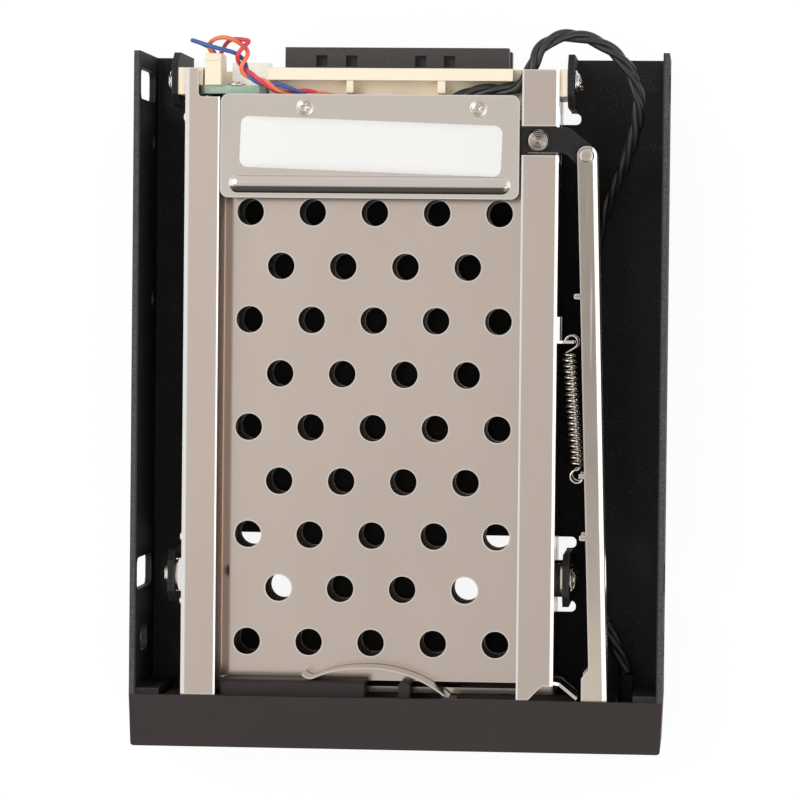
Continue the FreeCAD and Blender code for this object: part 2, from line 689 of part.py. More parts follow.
def round_piece(name, x, y, lift, section):
    """A rivet or pin: half a section, radius against height, turned about a vertical axis."""
    body = new_body(name, lift)
    bind(body, "Placement.Base.x", x)
    bind(body, "Placement.Base.y", y)
    sketch = new_sketch(body, "XZ", 0.0)
    draw_outline(sketch, section)
    feature = body.newObject("PartDesign::Revolution", f"{name}_turned")
    feature.Profile = sketch
    feature.ReferenceAxis = (sketch, ["V_Axis"])
    feature.Angle = 360
    doc.recompute()
    return keep(name, body)


def make_lever_rivet(level, lift):
    low = cell("lever_low")
    high = low + cell("lever_gauge")
    section = [
        (0, low - 1.1), (1.7, low - 1.1), (2.0, low - 0.6), (1.25, low - 0.6),
        (1.25, high + 0.1), (2.15, high + 0.1), (2.15, high + 0.35), (1.7, high + 0.6),
        (0, high + 0.6),
    ]
    round_piece(f"lever_rivet_{level}", cell("pivot_x"), cell("pivot_y"), lift, section)


def make_link_pin(level, lift):
    low = cell("lever_low")
    head = cell("bar_low") + cell("bar_gauge") + 0.1
    section = [
        (0, low - 0.4), (1.2, low - 0.4), (1.2, low), (0.7, low), (0.7, head), (1.25, head),
        (1.25, head + 0.25), (0.95, head + 0.45), (0, head + 0.45),
    ]
    round_piece(f"link_pin_{level}", cell("link_x"), cell("link_y"), lift, section)


def make_bar(level, lift):
    """The long bright bar from the door's crank pin to the lever, with a turned-down edge."""
    body = new_body(f"eject_bar_{level}", lift)
    low = cell("bar_low")
    high = low + cell("bar_gauge")
    link_x, link_y = cell("link_x"), cell("link_y")
    crank = cell("crank_radius") * math.sqrt(0.5)
    crank_x, crank_y = cell("hinge_x") + crank, cell("hinge_y") - crank
    outline = [
        (33.5, 48.1, 1.7), (37.2, 48.1, 1.7), (40.3, -58.4), (41.2, -59.6), (41.2, -65.6, 0.8),
        (36.25, -65.6, 0.6), (36.25, -60.4), (35.4, -59.4, 0.5), (35.4, -52.6, 0.6),
        (36.75, -50.9, 0.8),
    ]
    pad(body, "XY", outline, low, high)
    # Turned-down edge along the right side.
    edge = [(36.61, 41.0), (37.407, 41.0), (40.3, -58.4), (39.5, -58.4)]
    pad(body, "XY", edge, 6.6, low + 0.1)
    # Slots: across the bar for the crank pin, and long across for the lever's link pin.
    link_slot = box(link_x - 1.0, link_x + 1.45, link_y - 1.0, link_y + 1.0, 0.9)
    pocket(body, "XY", link_slot, low - 0.1, high + 0.1)
    crank_slot = box(crank_x - 1.1, crank_x + 2.25, crank_y - 1.1, crank_y + 1.1, 0.9)
    pocket(body, "XY", crank_slot, low - 0.1, high + 0.1)
    # Small guide lugs and the turned-down tab that takes the spring.
    for y in (19.7, -26.0):
        edge_x = 33.5 + (48.1 - y) * 3.25 / 99.0
        pad(body, "XY", box(edge_x - 1.2, edge_x + 0.3, y - 0.5, y + 0.5, 0.3), low, high)
    pad(body, "XY", box(34.5, 36.2, -14.7, -13.9), low, high)
    pad(body, "XZ", box(34.5, 36.2, 7.8, low + 0.2), -14.7, -14.2)
    drill(body, "XZ", [(35.3, cell("spring_high"), 0.45)], -15.0, -14.0)
    return keep(f"eject_bar_{level}", body)


def make_return_spring(level, lift):
    """The spring's coils as one round bar, with a ring hook at each end."""
    rear, front = Vector(32.74, 11.05, 0), Vector(34.06, -14.45, 0)
    along = (front - rear).normalize()
    radius, wire = cell("spring_radius"), cell("spring_wire")
    mean = radius - wire * 0.5
    tilt = Rotation(Vector(0, 0, 1), along)
    hook = mean.number
    start, end = rear + along * hook, front - along * hook
    coils = doc.addObject("Part::Cylinder", f"spring_coils_{level}")
    coils.Placement = Placement(Vector(start.x, start.y, 0), tilt)
    bind(coils, "Placement.Base.z", size(lift) + cell("spring_high"))
    bind(coils, "Radius", radius)
    coils.Height = (end - start).Length
    hooks = []
    for index, centre in enumerate((rear, front)):
        ring = doc.addObject("Part::Torus", f"spring_hook_{level}_{index}")
        ring.Placement = Placement(Vector(centre.x, centre.y, 0), Rotation())
        bind(ring, "Placement.Base.z", size(lift) + cell("spring_high"))
        bind(ring, "Radius1", mean)
        bind(ring, "Radius2", wire * 0.5)
        hooks.append(ring)
    return keep(f"return_spring_{level}", join(f"return_spring_{level}", [coils] + hooks))


def make_cage_screws():
    """Eight pan heads outside the tabs, each into a cage wall."""
    screws = []
    sides = (("left", TAB_LEFT - GAUGE, -1, LEFT), ("right", TAB_RIGHT + GAUGE, 1, RIGHT))
    for side, seat, outward, wall in sides:
        for end, y in SCREW_Y.items():
            for level, lift in BAYS.items():
                height = lift + SCREW_Z
                tag = f"{side}_{end}_{level}"
                head = rod(f"screw_head_{tag}", (seat, y, height), (outward, 0, 0), 2.3, 1.3)
                inside = wall - outward * 0.5
                reach = (seat - inside) * outward + 0.3
                shank = rod(f"screw_shank_{tag}", (inside, y, height), (outward, 0, 0), 1.2, reach)
                screws.append(join(f"screw_{tag}", [head, shank]))
    return keep("cage_screws", group("cage_screws", screws))


# ---------------------------------------------------------------- front end

def draw_hinge_end(sketch, x, y, radius):
    """A quarter disc round the hinge axis with a straight root to its left."""
    root = x - 3.0
    centre = Vector(x.number, y.number, 0)
    circle = Part.Circle(centre, Vector(0, 0, 1), radius.number)
    arc = sketch.addGeometry(Part.ArcOfCircle(circle, -math.pi / 2, 0))
    corners = [(x + radius, y), (root, y), (root, y - radius), (x, y - radius)]
    spots = [Vector(u.number, v.number, 0) for u, v in corners]
    for item, (u, v) in enumerate(corners[:3], 1):
        sketch.addGeometry(Part.LineSegment(spots[item - 1], spots[item]))
        hold(sketch, "DistanceX", item, 1, u)
        hold(sketch, "DistanceY", item, 1, v)
    for item, point, following in ((0, 2, 1), (1, 2, 2), (2, 2, 3)):
        sketch.addConstraint(Sketcher.Constraint("Coincident", item, point, following, 1))
    sketch.addConstraint(Sketcher.Constraint("Coincident", 3, 2, arc, 1))
    hold(sketch, "DistanceX", arc, 3, x)
    hold(sketch, "DistanceY", arc, 3, y)


JAMB_LEFT = cell("door_left") - 0.3
JAMB_RIGHT = cell("hinge_x") + cell("barrel_radius") + 0.35
BUTTON_X = 46.0
BUTTON_Z = 4.4
GUIDE_Z = 9.0


def make_front_bezel():
    """The moulded front: two door openings one above the other and a hollow end at each side."""
    body = new_body("front_bezel")
    front, rear = cell("bezel_front"), cell("frame_front")
    top = cell("frame_height")
    narrow = HALF_WIDTH - cell("bezel_draft")
    plan = [(-narrow, front, 0.6), (narrow, front, 0.6), (HALF_WIDTH, rear), (-HALF_WIDTH, rear)]
    pad(body, "XY", plan, 0.0, top)
    for lift in BAYS.values():
        opening = box(JAMB_LEFT, JAMB_RIGHT, lift, lift + 10.85)
        pocket(body, "XZ", opening, front - 0.5, rear + 0.5)
        strike = box(JAMB_LEFT - 2.2, JAMB_LEFT + 0.2, lift + 3.6, lift + 7.3)
        pocket(body, "XZ", strike, -64.0, -60.8)
    # Room for the bars' front ends round the hinge, behind a thin front skin.
    pocket(body, "XZ", box(34.3, 42.0, 1.0, 24.6), -66.0, rear + 0.5)
    pocket(body, "XZ", box(-49.2, -44.4, 1.6, 23.8, 0.8), -64.8, rear + 0.5)
    pocket(body, "XZ", box(42.2, 49.2, 1.6, 23.8), -64.4, rear + 0.5)
    drill(body, "XY", [(cell("hinge_x"), cell("hinge_y"), 0.8)], 0.5, 24.95)
    for lift in BAYS.values():
        press = box(BUTTON_X - 2.1, BUTTON_X + 2.1, lift + BUTTON_Z - 1.5, lift + BUTTON_Z + 1.5)
        pocket(body, "XZ", press, front - 0.5, -64.0)
        drill(body, "XZ", [(BUTTON_X, lift + GUIDE_Z, 1.0)], front - 0.5, -64.0)
    return keep("front_bezel", body)


def make_hinge_pin():
    pin = rod("door_hinge_pin", (cell("hinge_x"), cell("hinge_y"), 0.5), (0, 0, 1), 0.8, 24.45)
    return keep("door_hinge_pin", pin)


def make_door(level, lift):
    """A moulded door: a skin with a rim, a rounded hinge end and a pressing block behind."""
    body = new_body(f"door_{level}", lift)
    low, high = cell("door_low"), cell("door_low") + cell("door_tall")
    hinge_x, hinge_y, radius = cell("hinge_x"), cell("hinge_y"), cell("barrel_radius")
    left, face = cell("door_left"), hinge_y - radius
    skin = face + 1.6
    inner = hinge_y + 2.6
    # Rounded hinge end: a quarter round whose centre is the hinge axis.
    add_feature(
        body, "PartDesign::Pad", "XY", low, high,
        lambda s: draw_hinge_end(s, hinge_x, hinge_y, radius),
    )
    pad(body, "XY", box(left, hinge_x - 2.8, face, skin), low, high)
    pad_rounds(body, "XY", [(hinge_x, hinge_y, 2.3)], low, high)
    # Rim: both long edges, the free end, and two cross ribs.
    for foot, head in ((low, low + 1.2), (high - 1.2, high)):
        pad(body, "XY", box(left, hinge_x - 2.0, skin - 0.1, inner), foot, head)
    pad(body, "XY", box(left, left + 1.2, skin - 0.1, inner), low + 1.1, high - 1.1)
    pad(body, "XY", box(hinge_x - 4.0, hinge_x - 2.0, skin - 0.1, inner), low + 1.1, high - 1.1)
    # The block that reaches in behind the door, sloped top and bottom.
    block_side = [
        (skin - 0.1, 1.7), (-54.6, 1.7), (-54.1, 2.2), (-54.1, 9.2), (-54.6, 9.7),
        (skin - 0.1, 9.7),
    ]
    pad(body, "YZ", block_side, -33.6, -6.0)
    pad(body, "XY", box(0.5, 2.7, skin - 0.1, -54.3, 0.5), 1.8, 9.6)
    pad(body, "XY", box(8.4, 11.4, skin - 0.1, -57.2), 1.8, 9.6)
    # The window for the latch's thumb piece, and the way out for its nose.
    pocket(body, "XZ", box(-39.0, -34.6, 3.2, 7.7), face - 0.2, skin + 0.2)
    pocket(body, "YZ", box(-64.0, -60.8, 3.6, 7.3), left - 0.2, left + 1.5)
    drill(body, "XY", [(hinge_x, hinge_y, 0.85)], low - 0.2, high + 0.2)
    crank = cell("crank_radius") * math.sqrt(0.5)
    pad_rounds(body, "XY", [(hinge_x + crank, hinge_y - crank, 0.8)], high - 0.1, 11.5)
    return keep(f"door_{level}", body)


def make_latch(level, lift):
    """The door's slide latch: a thumb piece in the window and a nose at the free end."""
    body = new_body(f"door_latch_{level}", lift)
    pad(body, "XY", box(-38.8, -37.2, -66.3, -61.0), 3.4, 7.5)
    pad(body, "XY", box(-38.9, -36.3, -63.9, -61.0), 3.4, 7.5)
    pad(body, "XY", [(-40.92, -63.0), (-38.7, -63.9), (-38.7, -61.0), (-40.92, -61.3)], 3.8, 7.1)
    return keep(f"door_latch_{level}", body)


def make_leaf_spring(level, lift):
    """A bowed strip behind the door that holds the drive against its socket."""
    path = doc.addObject("Sketcher::SketchObject", f"leaf_path_{level}")
    root, crest, low_point, tip = (
        Vector(9.9, -57.05, 0), Vector(-7.0, -51.6, 0), Vector(-15.6, -53.45, 0),
        Vector(-17.9, -52.9, 0),
    )
    path.addGeometry(Part.Arc(root, Vector(2.2, -52.75, 0), crest))
    path.addGeometry(Part.Arc(crest, Vector(-11.8, -52.15, 0), low_point))
    path.addGeometry(Part.Arc(low_point, Vector(-17.1, -53.55, 0), tip))
    doc.recompute()
    strip = doc.addObject("Part::Offset2D", f"leaf_strip_{level}")
    strip.Source, strip.Value, strip.Fill, strip.Mode = path, 0.15, True, "Pipe"
    doc.recompute()
    leaf = doc.addObject("Part::Extrusion", f"leaf_spring_{level}")
    leaf.Base, leaf.DirMode, leaf.Dir, leaf.Solid = strip, "Custom", Vector(0, 0, 1), True
    leaf.LengthFwd = 7.4
    bind(leaf, "Placement.Base.z", size(lift) + 2.0)
    return keep(f"leaf_spring_{level}", leaf)


def make_front_board():
    """The small board behind the right end of the bezel, with two switches and two lamps."""
    board = block("front_board", (42.5, -59.6, 2.0), (49.0, -58.0, 23.4))
    keep("front_board", board)
    switches = []
    for level, lift in BAYS.items():
        height = size(lift) + BUTTON_Z
        can = block(f"switch_can_{level}", (BUTTON_X - 2, -61.6, height - 1.5),
                    (BUTTON_X + 2, -59.6, height + 1.5))
        stem = rod(f"switch_stem_{level}", (BUTTON_X, -61.9, height), (0, 1, 0), 0.8, 0.4)
        switches.append(join(f"switch_{level}", [can, stem]))
    keep("power_switches", group("power_switches", switches))


def make_button(level, lift):
    body = new_body(f"power_button_{level}", lift)
    front = cell("bezel_front")
    pad(body, "XZ", box(BUTTON_X - 2.0, BUTTON_X + 2.0, BUTTON_Z - 1.4, BUTTON_Z + 1.4, 0.3),
        front + 0.05, -63.9)
    pad(body, "XZ", box(BUTTON_X - 2.5, BUTTON_X + 2.5, BUTTON_Z - 1.9, BUTTON_Z + 1.9),
        -64.3, -63.3)
    return keep(f"power_button_{level}", body)


def make_light_guide(level, lift):
    height = size(lift) + GUIDE_Z
    front = cell("bezel_front")
    guide = join(f"light_guide_{level}", [
        rod(f"guide_rod_{level}", (BUTTON_X, front + 0.05, height), (0, 1, 0), 0.95,
            -59.8 - (front + 0.05)),
        rod(f"guide_collar_{level}", (BUTTON_X, -64.3, height), (0, 1, 0), 1.5, 0.8),
    ])
    keep(f"light_guide_{level}", guide)


# ---------------------------------------------------------------- wires

def cord_path(points):
    """Straight runs joined by tangent arcs, each as large as its two runs allow."""
    spots = [Vector(*p) for p in points]
    edges, radii, start = [], [], spots[0]
    for before, spot, after in zip(spots, spots[1:], spots[2:]):
        come, leave = (spot - before).normalize(), (after - spot).normalize()
        turn = come.getAngle(leave)
        shorter = min((spot - before).Length, (after - spot).Length)
        setback = 0.45 * shorter
        radii.append(setback / math.tan(turn / 2))
        first, last = spot - come * setback, spot + leave * setback
        inward = (leave - come).normalize()
        centre = spot + inward * math.hypot(setback, radii[-1])
        middle = centre - inward * radii[-1]
        edges.append(Part.LineSegment(start, first).toShape())
        edges.append(Part.Arc(first, middle, last).toShape())
        start = last
    edges.append(Part.LineSegment(start, spots[-1]).toShape())
    return Part.Wire(edges), radii


def make_cord(name, points, diameter):
    """A plain round cord along its route."""
    path, radii = cord_path(points)
    first = path.Edges[0]
    ring = Part.makeCircle(
        diameter.number / 2, first.Vertexes[0].Point, first.tangentAt(first.FirstParameter)
    )
    solid = path.makePipeShell([Part.Wire([ring])], True, False)
    ideal = math.pi * (diameter.number / 2) ** 2 * path.Length
    if abs(solid.Volume / ideal - 1) > 0.02:
        raise ValueError(f"{name}: volume {solid.Volume:.1f} against {ideal:.1f}")
    print(f"{name}: {path.Length:.1f} mm long, radii", [round(r, 1) for r in radii])
    feature = doc.addObject("Part::Feature", name)
    feature.Shape = solid
    return keep(name, feature)


POWER_LOOM = [
    (9.2, 56.0, 22.1), (12.6, 58.3, 22.1), (17.4, 58.65, 22.1), (22.4, 58.85, 22.15),
    (24.6, 62.4, 22.1), (26.0, 67.0, 21.0), (30.6, 69.6, 19.6), (36.6, 68.6, 18.9),
    (41.6, 65.2, 18.3), (44.6, 60.0, 17.4), (45.0, 54.0, 16.0), (43.2, 47.6, 13.2),
    (40.8, 41.8, 9.2), (38.4, 36.4, 5.4), (36.6, 30.4, 3.4), (35.9, 20.0, 2.8),
    (35.8, 4.0, 2.8), (35.8, -14.0, 2.8), (36.2, -30.0, 2.9), (38.0, -41.0, 3.2),
    (41.8, -48.2, 4.0), (43.7, -53.4, 4.6),
]
LED_WIRES = [
    (-36.0, 65.3, 19.6), (-35.6, 67.0, 20.4), (-33.2, 67.9, 21.2), (-30.4, 67.6, 21.8),
    (-29.2, 65.6, 22.4), (-29.4, 63.0, 23.1), (-28.2, 60.6, 23.5), (-25.4, 59.0, 23.1),
    (-21.2, 58.3, 22.3), (-16.0, 58.2, 22.0), (-11.0, 56.9, 22.0), (-6.4, 55.5, 21.9),
]


# ---------------------------------------------------------------- build

make_outer_frame()
make_connector_cover()
make_cover_screws()
make_connector_bracket()
make_backplane_board()
make_board_screws()
make_headers()
make_cage_screws()
make_front_bezel()
make_hinge_pin()
make_front_board()
for bay, height in BAYS.items():
    make_cage(bay, height)
    make_port(bay, height)
    make_drive_socket(bay, height)
    make_lever(bay, height)
    make_lever_rivet(bay, height)
    make_link_pin(bay, height)
    make_bar(bay, height)
    make_return_spring(bay, height)
    make_door(bay, height)
    make_latch(bay, height)
    make_leaf_spring(bay, height)
    make_button(bay, height)
    make_light_guide(bay, height)
make_cord("power_loom", POWER_LOOM, cell("loom_dia"))
make_cord("led_wires", LED_WIRES, cell("led_loom_dia"))
doc.recompute()

for thing in doc.Objects:
    if "Invalid" in thing.State or "Error" in thing.State:
        raise ValueError(f"{thing.Label} failed: {thing.State}")
for name, thing in nodes.items():
    if thing.Shape.isNull() or not thing.Shape.isValid():
        raise ValueError(f"{name} has no valid shape")

os.makedirs("parts", exist_ok=True)
for name, thing in nodes.items():
    thing.Shape.exportStep(os.path.join("parts", f"{name}.step"))
print(len(nodes), "sub-parts written")
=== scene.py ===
# %% [markdown]
# # A hot swap drive cage
# The part is a folded steel rack for two bare drives. FreeCAD made the steel, the mouldings and
# everything that moves. This lesson dresses that model in Blender: the finishes of steel, powder
# coat and plastic, the coil springs, the wires, the label and the small fittings of the board.

import json
import math

import bpy
import numpy as np
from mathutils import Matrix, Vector


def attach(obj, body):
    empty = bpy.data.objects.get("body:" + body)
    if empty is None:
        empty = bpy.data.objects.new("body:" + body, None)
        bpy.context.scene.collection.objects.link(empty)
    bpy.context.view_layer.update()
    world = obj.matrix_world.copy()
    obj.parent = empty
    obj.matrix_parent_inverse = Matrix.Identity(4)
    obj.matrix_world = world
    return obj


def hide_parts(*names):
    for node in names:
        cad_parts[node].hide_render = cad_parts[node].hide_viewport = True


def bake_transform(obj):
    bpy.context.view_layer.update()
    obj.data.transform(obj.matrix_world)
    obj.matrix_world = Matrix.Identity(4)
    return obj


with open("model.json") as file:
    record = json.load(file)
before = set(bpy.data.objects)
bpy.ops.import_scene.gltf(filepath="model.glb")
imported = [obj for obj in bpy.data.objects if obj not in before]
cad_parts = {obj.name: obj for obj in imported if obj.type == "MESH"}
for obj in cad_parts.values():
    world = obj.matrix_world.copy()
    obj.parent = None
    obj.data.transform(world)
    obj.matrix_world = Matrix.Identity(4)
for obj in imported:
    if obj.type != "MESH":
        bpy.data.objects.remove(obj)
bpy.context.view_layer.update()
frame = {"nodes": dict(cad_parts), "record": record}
scene = bpy.context.scene
MM = 0.001

# %% [markdown]
# ## How a finish is built
# Every finish is one Principled shader. A finish could be a flat colour, but a flat colour looks
# like a toy. Here each one gets a pattern read from Object coordinates, which are metres, so a
# grain of 0.3 mm is a noise of scale 1 / 0.0003. Small helpers keep the node code short.

# %% Node helpers


def set_socket(tree, socket, value):
    """Links the value where it is another node's output, and sets it where it is a number or colour."""
    if isinstance(value, bpy.types.NodeSocket):
        tree.links.new(value, socket)
    else:
        socket.default_value = (*value, 1) if socket.type == "RGBA" else value


def add_node(tree, kind, **settings):
    """Adds a node. A setting is an attribute, an input by its name, or i and an input's number."""
    made = tree.nodes.new(kind)
    for name, value in settings.items():
        if hasattr(made, name):
            setattr(made, name, value)
        else:
            place = int(name[1:]) if name[1:].isdigit() else name.replace("_", " ")
            set_socket(tree, made.inputs[place], value)
    return made


def map_range(tree, value, low, high, start=0.0, end=1.0):
    """Start below low, end above high, straight between; low may be the larger one."""
    return add_node(
        tree, "ShaderNodeMapRange", Value=value, From_Min=low, From_Max=high, To_Min=start, To_Max=end
    ).outputs[0]


def shaded(colour, share):
    """A colour made darker or brighter by a share."""
    return tuple(part * share for part in colour)


def rgba(colour):
    """A colour with full alpha, from a grey or from three parts."""
    return (*colour, 1) if hasattr(colour, "__len__") else (colour, colour, colour, 1)


class Finish:
    """A material with one Principled shader and helpers that add nodes to it."""

    def __init__(self, name, colour, roughness, metallic=0.0, **sockets):
        self.material = bpy.data.materials.new(name)
        self.material.use_nodes = True
        self.tree = self.material.node_tree
        self.shader = self.tree.nodes["Principled BSDF"]
        self.shader.inputs["Base Color"].default_value = rgba(colour)
        self.shader.inputs["Roughness"].default_value = roughness
        self.shader.inputs["Metallic"].default_value = metallic
        for socket, value in sockets.items():
            self.shader.inputs[socket.replace("_", " ").title().replace("Ior", "IOR")].default_value = value
        self.material.diffuse_color = rgba(colour)
        self.places = self.node("ShaderNodeTexCoord").outputs["Object"]

    def node(self, kind, **settings):
        return add_node(self.tree, kind, **settings)

    def noise(self, size, detail, stretch=(1, 1, 1)):
        """Soft noise whose spots are about size metres, stretched along the axes."""
        mapped = self.node("ShaderNodeMapping", Vector=self.places, Scale=[1 / s for s in stretch])
        made = self.node("ShaderNodeTexNoise", Vector=mapped.outputs[0], Scale=1 / size, Detail=detail)
        return made.outputs["Fac"]

    def ramp(self, value, *stops):
        """Maps a value through (position, grey or colour) stops."""
        made = self.node("ShaderNodeValToRGB", Fac=value)
        ramp = made.color_ramp
        while len(ramp.elements) < len(stops):
            ramp.elements.new(0.5)
        for element, (position, colour) in zip(ramp.elements, stops):
            element.position = position
            element.color = rgba(colour)
        return made.outputs["Color"]

    def mix(self, amount, first, second, mode="MIX"):
        """Mixes two colours, each a value or a socket."""
        return self.node(
            "ShaderNodeMix", data_type="RGBA", blend_type=mode, i0=amount, i6=first, i7=second
        ).outputs[2]

    def math(self, operation, first, second=0.0):
        """One number worked out from two, each a value or a socket."""
        return self.node("ShaderNodeMath", operation=operation, i0=first, i1=second).outputs[0]

    def vector(self, operation, first, second):
        """A calculation on two vectors: its outputs are Vector and Value."""
        return self.node("ShaderNodeVectorMath", operation=operation, i0=first, i1=second).outputs

    def dot(self, first, second):
        return self.vector("DOT_PRODUCT", first, second)["Value"]

    def part(self, vector, axis):
        """The X, Y or Z part of a vector."""
        return self.node("ShaderNodeSeparateXYZ", Vector=vector).outputs[axis]

    def along(self, direction):
        """Distance of a point along a direction, in metres."""
        return self.dot(self.places, direction)

    def step(self, value, low, high, start=0.0, end=1.0):
        return map_range(self.tree, value, low, high, start, end)

    def within(self, value, low, high, soft):
        """1 between low and high, falling to 0 over the soft width outside."""
        return self.math("MULTIPLY", self.step(value, low - soft, low), self.step(value, high + soft, high))

    def dim(self, tint, amount):
        """Multiplies a colour by an amount."""
        grey = self.node("ShaderNodeCombineColor", i0=amount, i1=amount, i2=amount).outputs[0]
        return self.mix(1.0, tint, grey, "MULTIPLY")

    def feed(self, socket, value):
        self.tree.links.new(value, self.shader.inputs[socket])

    def bump(self, height, depth, strength=1.0, normal=None):
        """Bumps the surface by depth metres and returns the new normal."""
        made = self.node("ShaderNodeBump", Height=height, Distance=depth, Strength=strength)
        if normal is not None:
            self.tree.links.new(normal, made.inputs["Normal"])
        return made.outputs[0]

    def soft_edges(self, radius):
        """A normal that rounds every edge over the radius, and how near an edge is, 0 to 1."""
        rounded = self.node("ShaderNodeBevel", samples=4, Radius=radius).outputs[0]
        facing = self.dot(rounded, self.node("ShaderNodeNewGeometry").outputs["Normal"])
        return rounded, self.ramp(facing, (0.80, 1.0), (0.995, 0.0))


# %% [markdown]
# ## Steel
# The trays and the cover are cold rolled sheet with a fine straight grain. The grain is noise
# stretched 120 times along the rolling direction, which here is Y. It moves the roughness and the
# bump a little, and never the colour much, because grain on steel is made of tiny grooves.
# Sheared edges catch the light, so the edge mask paints a highlight into their colour.

# %% Sheet steel and plated steel


def make_steel(
    name, colour, roughness, grain_depth, highlight_and_scratch_colour, cloud=0.04, scratches=0.0, grain=(1, 120, 1),
    highlight_folds=(), painted_shades=(), shadow_boxes=(), painted_bead_shade=False, rings=None,
):
    """Rolled steel. A highlight fold is (direction, low, high, lean): a bend whose upper side faces
    along lean, and whose band gets a painted highlight. A painted shade is (direction, low, high,
    start, end): painted light and shade that change along the direction. A shadow box is a box, as
    three spans, with the share of light that reaches it painted into its colour. The bead shade paints
    shade on the slopes of a pressed rib along X, and rings are turning marks about a centre."""
    finish = Finish(name, colour, roughness, metallic=1.0)
    grooves = finish.noise(0.12 * MM, 3, stretch=grain)
    clouds = finish.noise(14 * MM, 3, stretch=(1, 2.5, 1))
    _, edge = finish.soft_edges(0.6 * MM)
    tint = finish.mix(finish.ramp(clouds, (0.3, 0.0), (0.7, 1.0)), shaded(colour, 1 - cloud), colour)
    # Painted light and shade: the colour is darkened or brightened along each direction.
    for direction, low, high, start, end in painted_shades:
        tint = finish.dim(tint, finish.step(finish.along(direction), low, high, start, end))
    # Painted shade: inside each box the colour is dimmed to the given share.
    for *spans, amount in shadow_boxes:
        inside = 1.0
        for axis, (low, high) in zip(np.eye(3), spans):
            inside = finish.math("MULTIPLY", inside, finish.within(finish.along(axis), low, high, 0.4 * MM))
        tint = finish.dim(tint, finish.step(inside, 0, 1, 1.0, amount))
    if painted_bead_shade:
        # Painted shade: the slope toward the front is darkened strongly, and the one toward the rear only a
        # little.
        slope = finish.part(finish.node("ShaderNodeTexCoord").outputs["Normal"], "Y")
        tint = finish.dim(tint, finish.step(slope, -0.10, -0.20, 1.0, 0.14))
        tint = finish.dim(tint, finish.step(slope, 0.50, 0.60, 1.0, 0.5))
    rough = finish.ramp(grooves, (0.3, roughness * 0.93), (0.7, roughness * 1.08))
    if scratches:
        # Scratches are wear, drawn in the same bright colour as the painted highlights.
        lines = finish.noise(0.5 * MM, 2, stretch=(1, 60, 1))
        marks = finish.ramp(lines, (0.62, 0.0), (0.72, 1.0))
        tint = finish.mix(finish.math("MULTIPLY", marks, scratches), tint, highlight_and_scratch_colour)
    # Painted highlight: the colour near every edge is mixed toward the highlight colour.
    tint = finish.mix(finish.math("MULTIPLY", edge, 0.9), tint, highlight_and_scratch_colour)
    normal = finish.bump(grooves, grain_depth, 0.10)
    upward = finish.part(finish.node("ShaderNodeNewGeometry").outputs["Normal"], "Z")
    # A fold leans the normal, and paints a highlight into the colour of its band.
    for direction, low, high, lean in highlight_folds:
        bend = finish.within(finish.along(direction), low, high, 0.2 * MM)
        bend = finish.math("MULTIPLY", bend, finish.step(upward, 0.10, 0.30))
        normal = finish.mix(bend, normal, lean)
        tint = finish.mix(bend, tint, highlight_and_scratch_colour)
    if rings:
        flat = finish.vector("MULTIPLY", finish.places, (1, 1, 0))["Vector"]
        reach = finish.vector("DISTANCE", flat, rings)["Value"]
        turnings = finish.math("SINE", finish.math("MULTIPLY", reach, 2 * math.pi / (0.8 * MM)))
        normal = finish.bump(turnings, 0.12 * MM, 1.0, normal)
    finish.feed("Base Color", tint)
    finish.feed("Roughness", rough)
    finish.feed("Normal", normal)
    return finish.material


across, lengthwise = (1, 0, 0), (0, 1, 0)
bar_right = (1, 0.0291, 0)
across_high, across_low = (1, 0, 1), (1, 0, -1)
lean_left, lean_right, lean_slightly = (-0.5, 0, 0.87), (0.5, 0, 0.87), (0.22, 0, 0.975)
fine_grain, drawn_grain, polish = 0.003 * MM, 0.004 * MM, 0.001 * MM
isotropic = (1, 1, 1)
highlight_white = (0.99, 0.98, 0.96)
wire_grey = (0.70, 0.65, 0.58)
sheet_steel = make_steel("rolled_sheet_steel", (0.72, 0.61, 0.53), 0.17, fine_grain, highlight_white)
upper_steel = make_steel(
    "tray_sheet_steel", (0.735, 0.62, 0.54), 0.16, fine_grain, highlight_white,
    highlight_folds=[
        # Painted highlights on the outer bends of the two flanges.
        (across, -0.0420, -0.0404, lean_left), (across, 0.0296, 0.0310, lean_right),
        # Painted highlights on their inner edges, told from the floor below by the slanted direction.
        (across_low, -0.0591, -0.0588, lean_right), (across_high, 0.0474, 0.0477, lean_left),
        # A painted highlight on a strip of floor beside the left flange, for the light the flange throws
        # back.
        (across_high, -0.0240, -0.0228, lean_slightly),
    ],
    # Painted shade: darker toward the front and toward the right, and a dimmed strip on the slope beside
    # the left flange.
    painted_shades=[(lengthwise, -0.055, 0.010, 0.93, 1.0), (across, -0.040, 0.030, 1.0, 0.92)],
    shadow_boxes=[((-0.0343, -0.0331), (-1, 1), (0, 0.020), 0.38)],
)
# Painted shade: the lower tray, seen in the dark through the upper one, is a darker copy of the sheet
# steel.
shaded_lower_steel = make_steel("shaded_lower_sheet_steel", (0.34, 0.29, 0.25), 0.20, fine_grain, highlight_white)
cover_steel = make_steel(
    "cover_sheet_steel", (0.76, 0.68, 0.61), 0.15, fine_grain, highlight_white, grain=(1, 60, 1), painted_bead_shade=True
)
bar_steel = make_steel(
    "plated_bar_steel", (0.53, 0.455, 0.385), 0.20, drawn_grain, (0.98, 0.96, 0.93),
    cloud=0.25, scratches=0.45,
    # Painted light: a highlight along the right fold, and the colour brightened toward the front.
    highlight_folds=[(bar_right, 0.0379, 0.0390, lean_right)],
    painted_shades=[(lengthwise, -0.055, -0.010, 1.55, 1.0)],
)
plated_steel = make_steel(
    "plated_strip_steel", (0.60, 0.53, 0.46), 0.24, drawn_grain, (0.97, 0.94, 0.90),
    cloud=0.16, scratches=0.35,
)
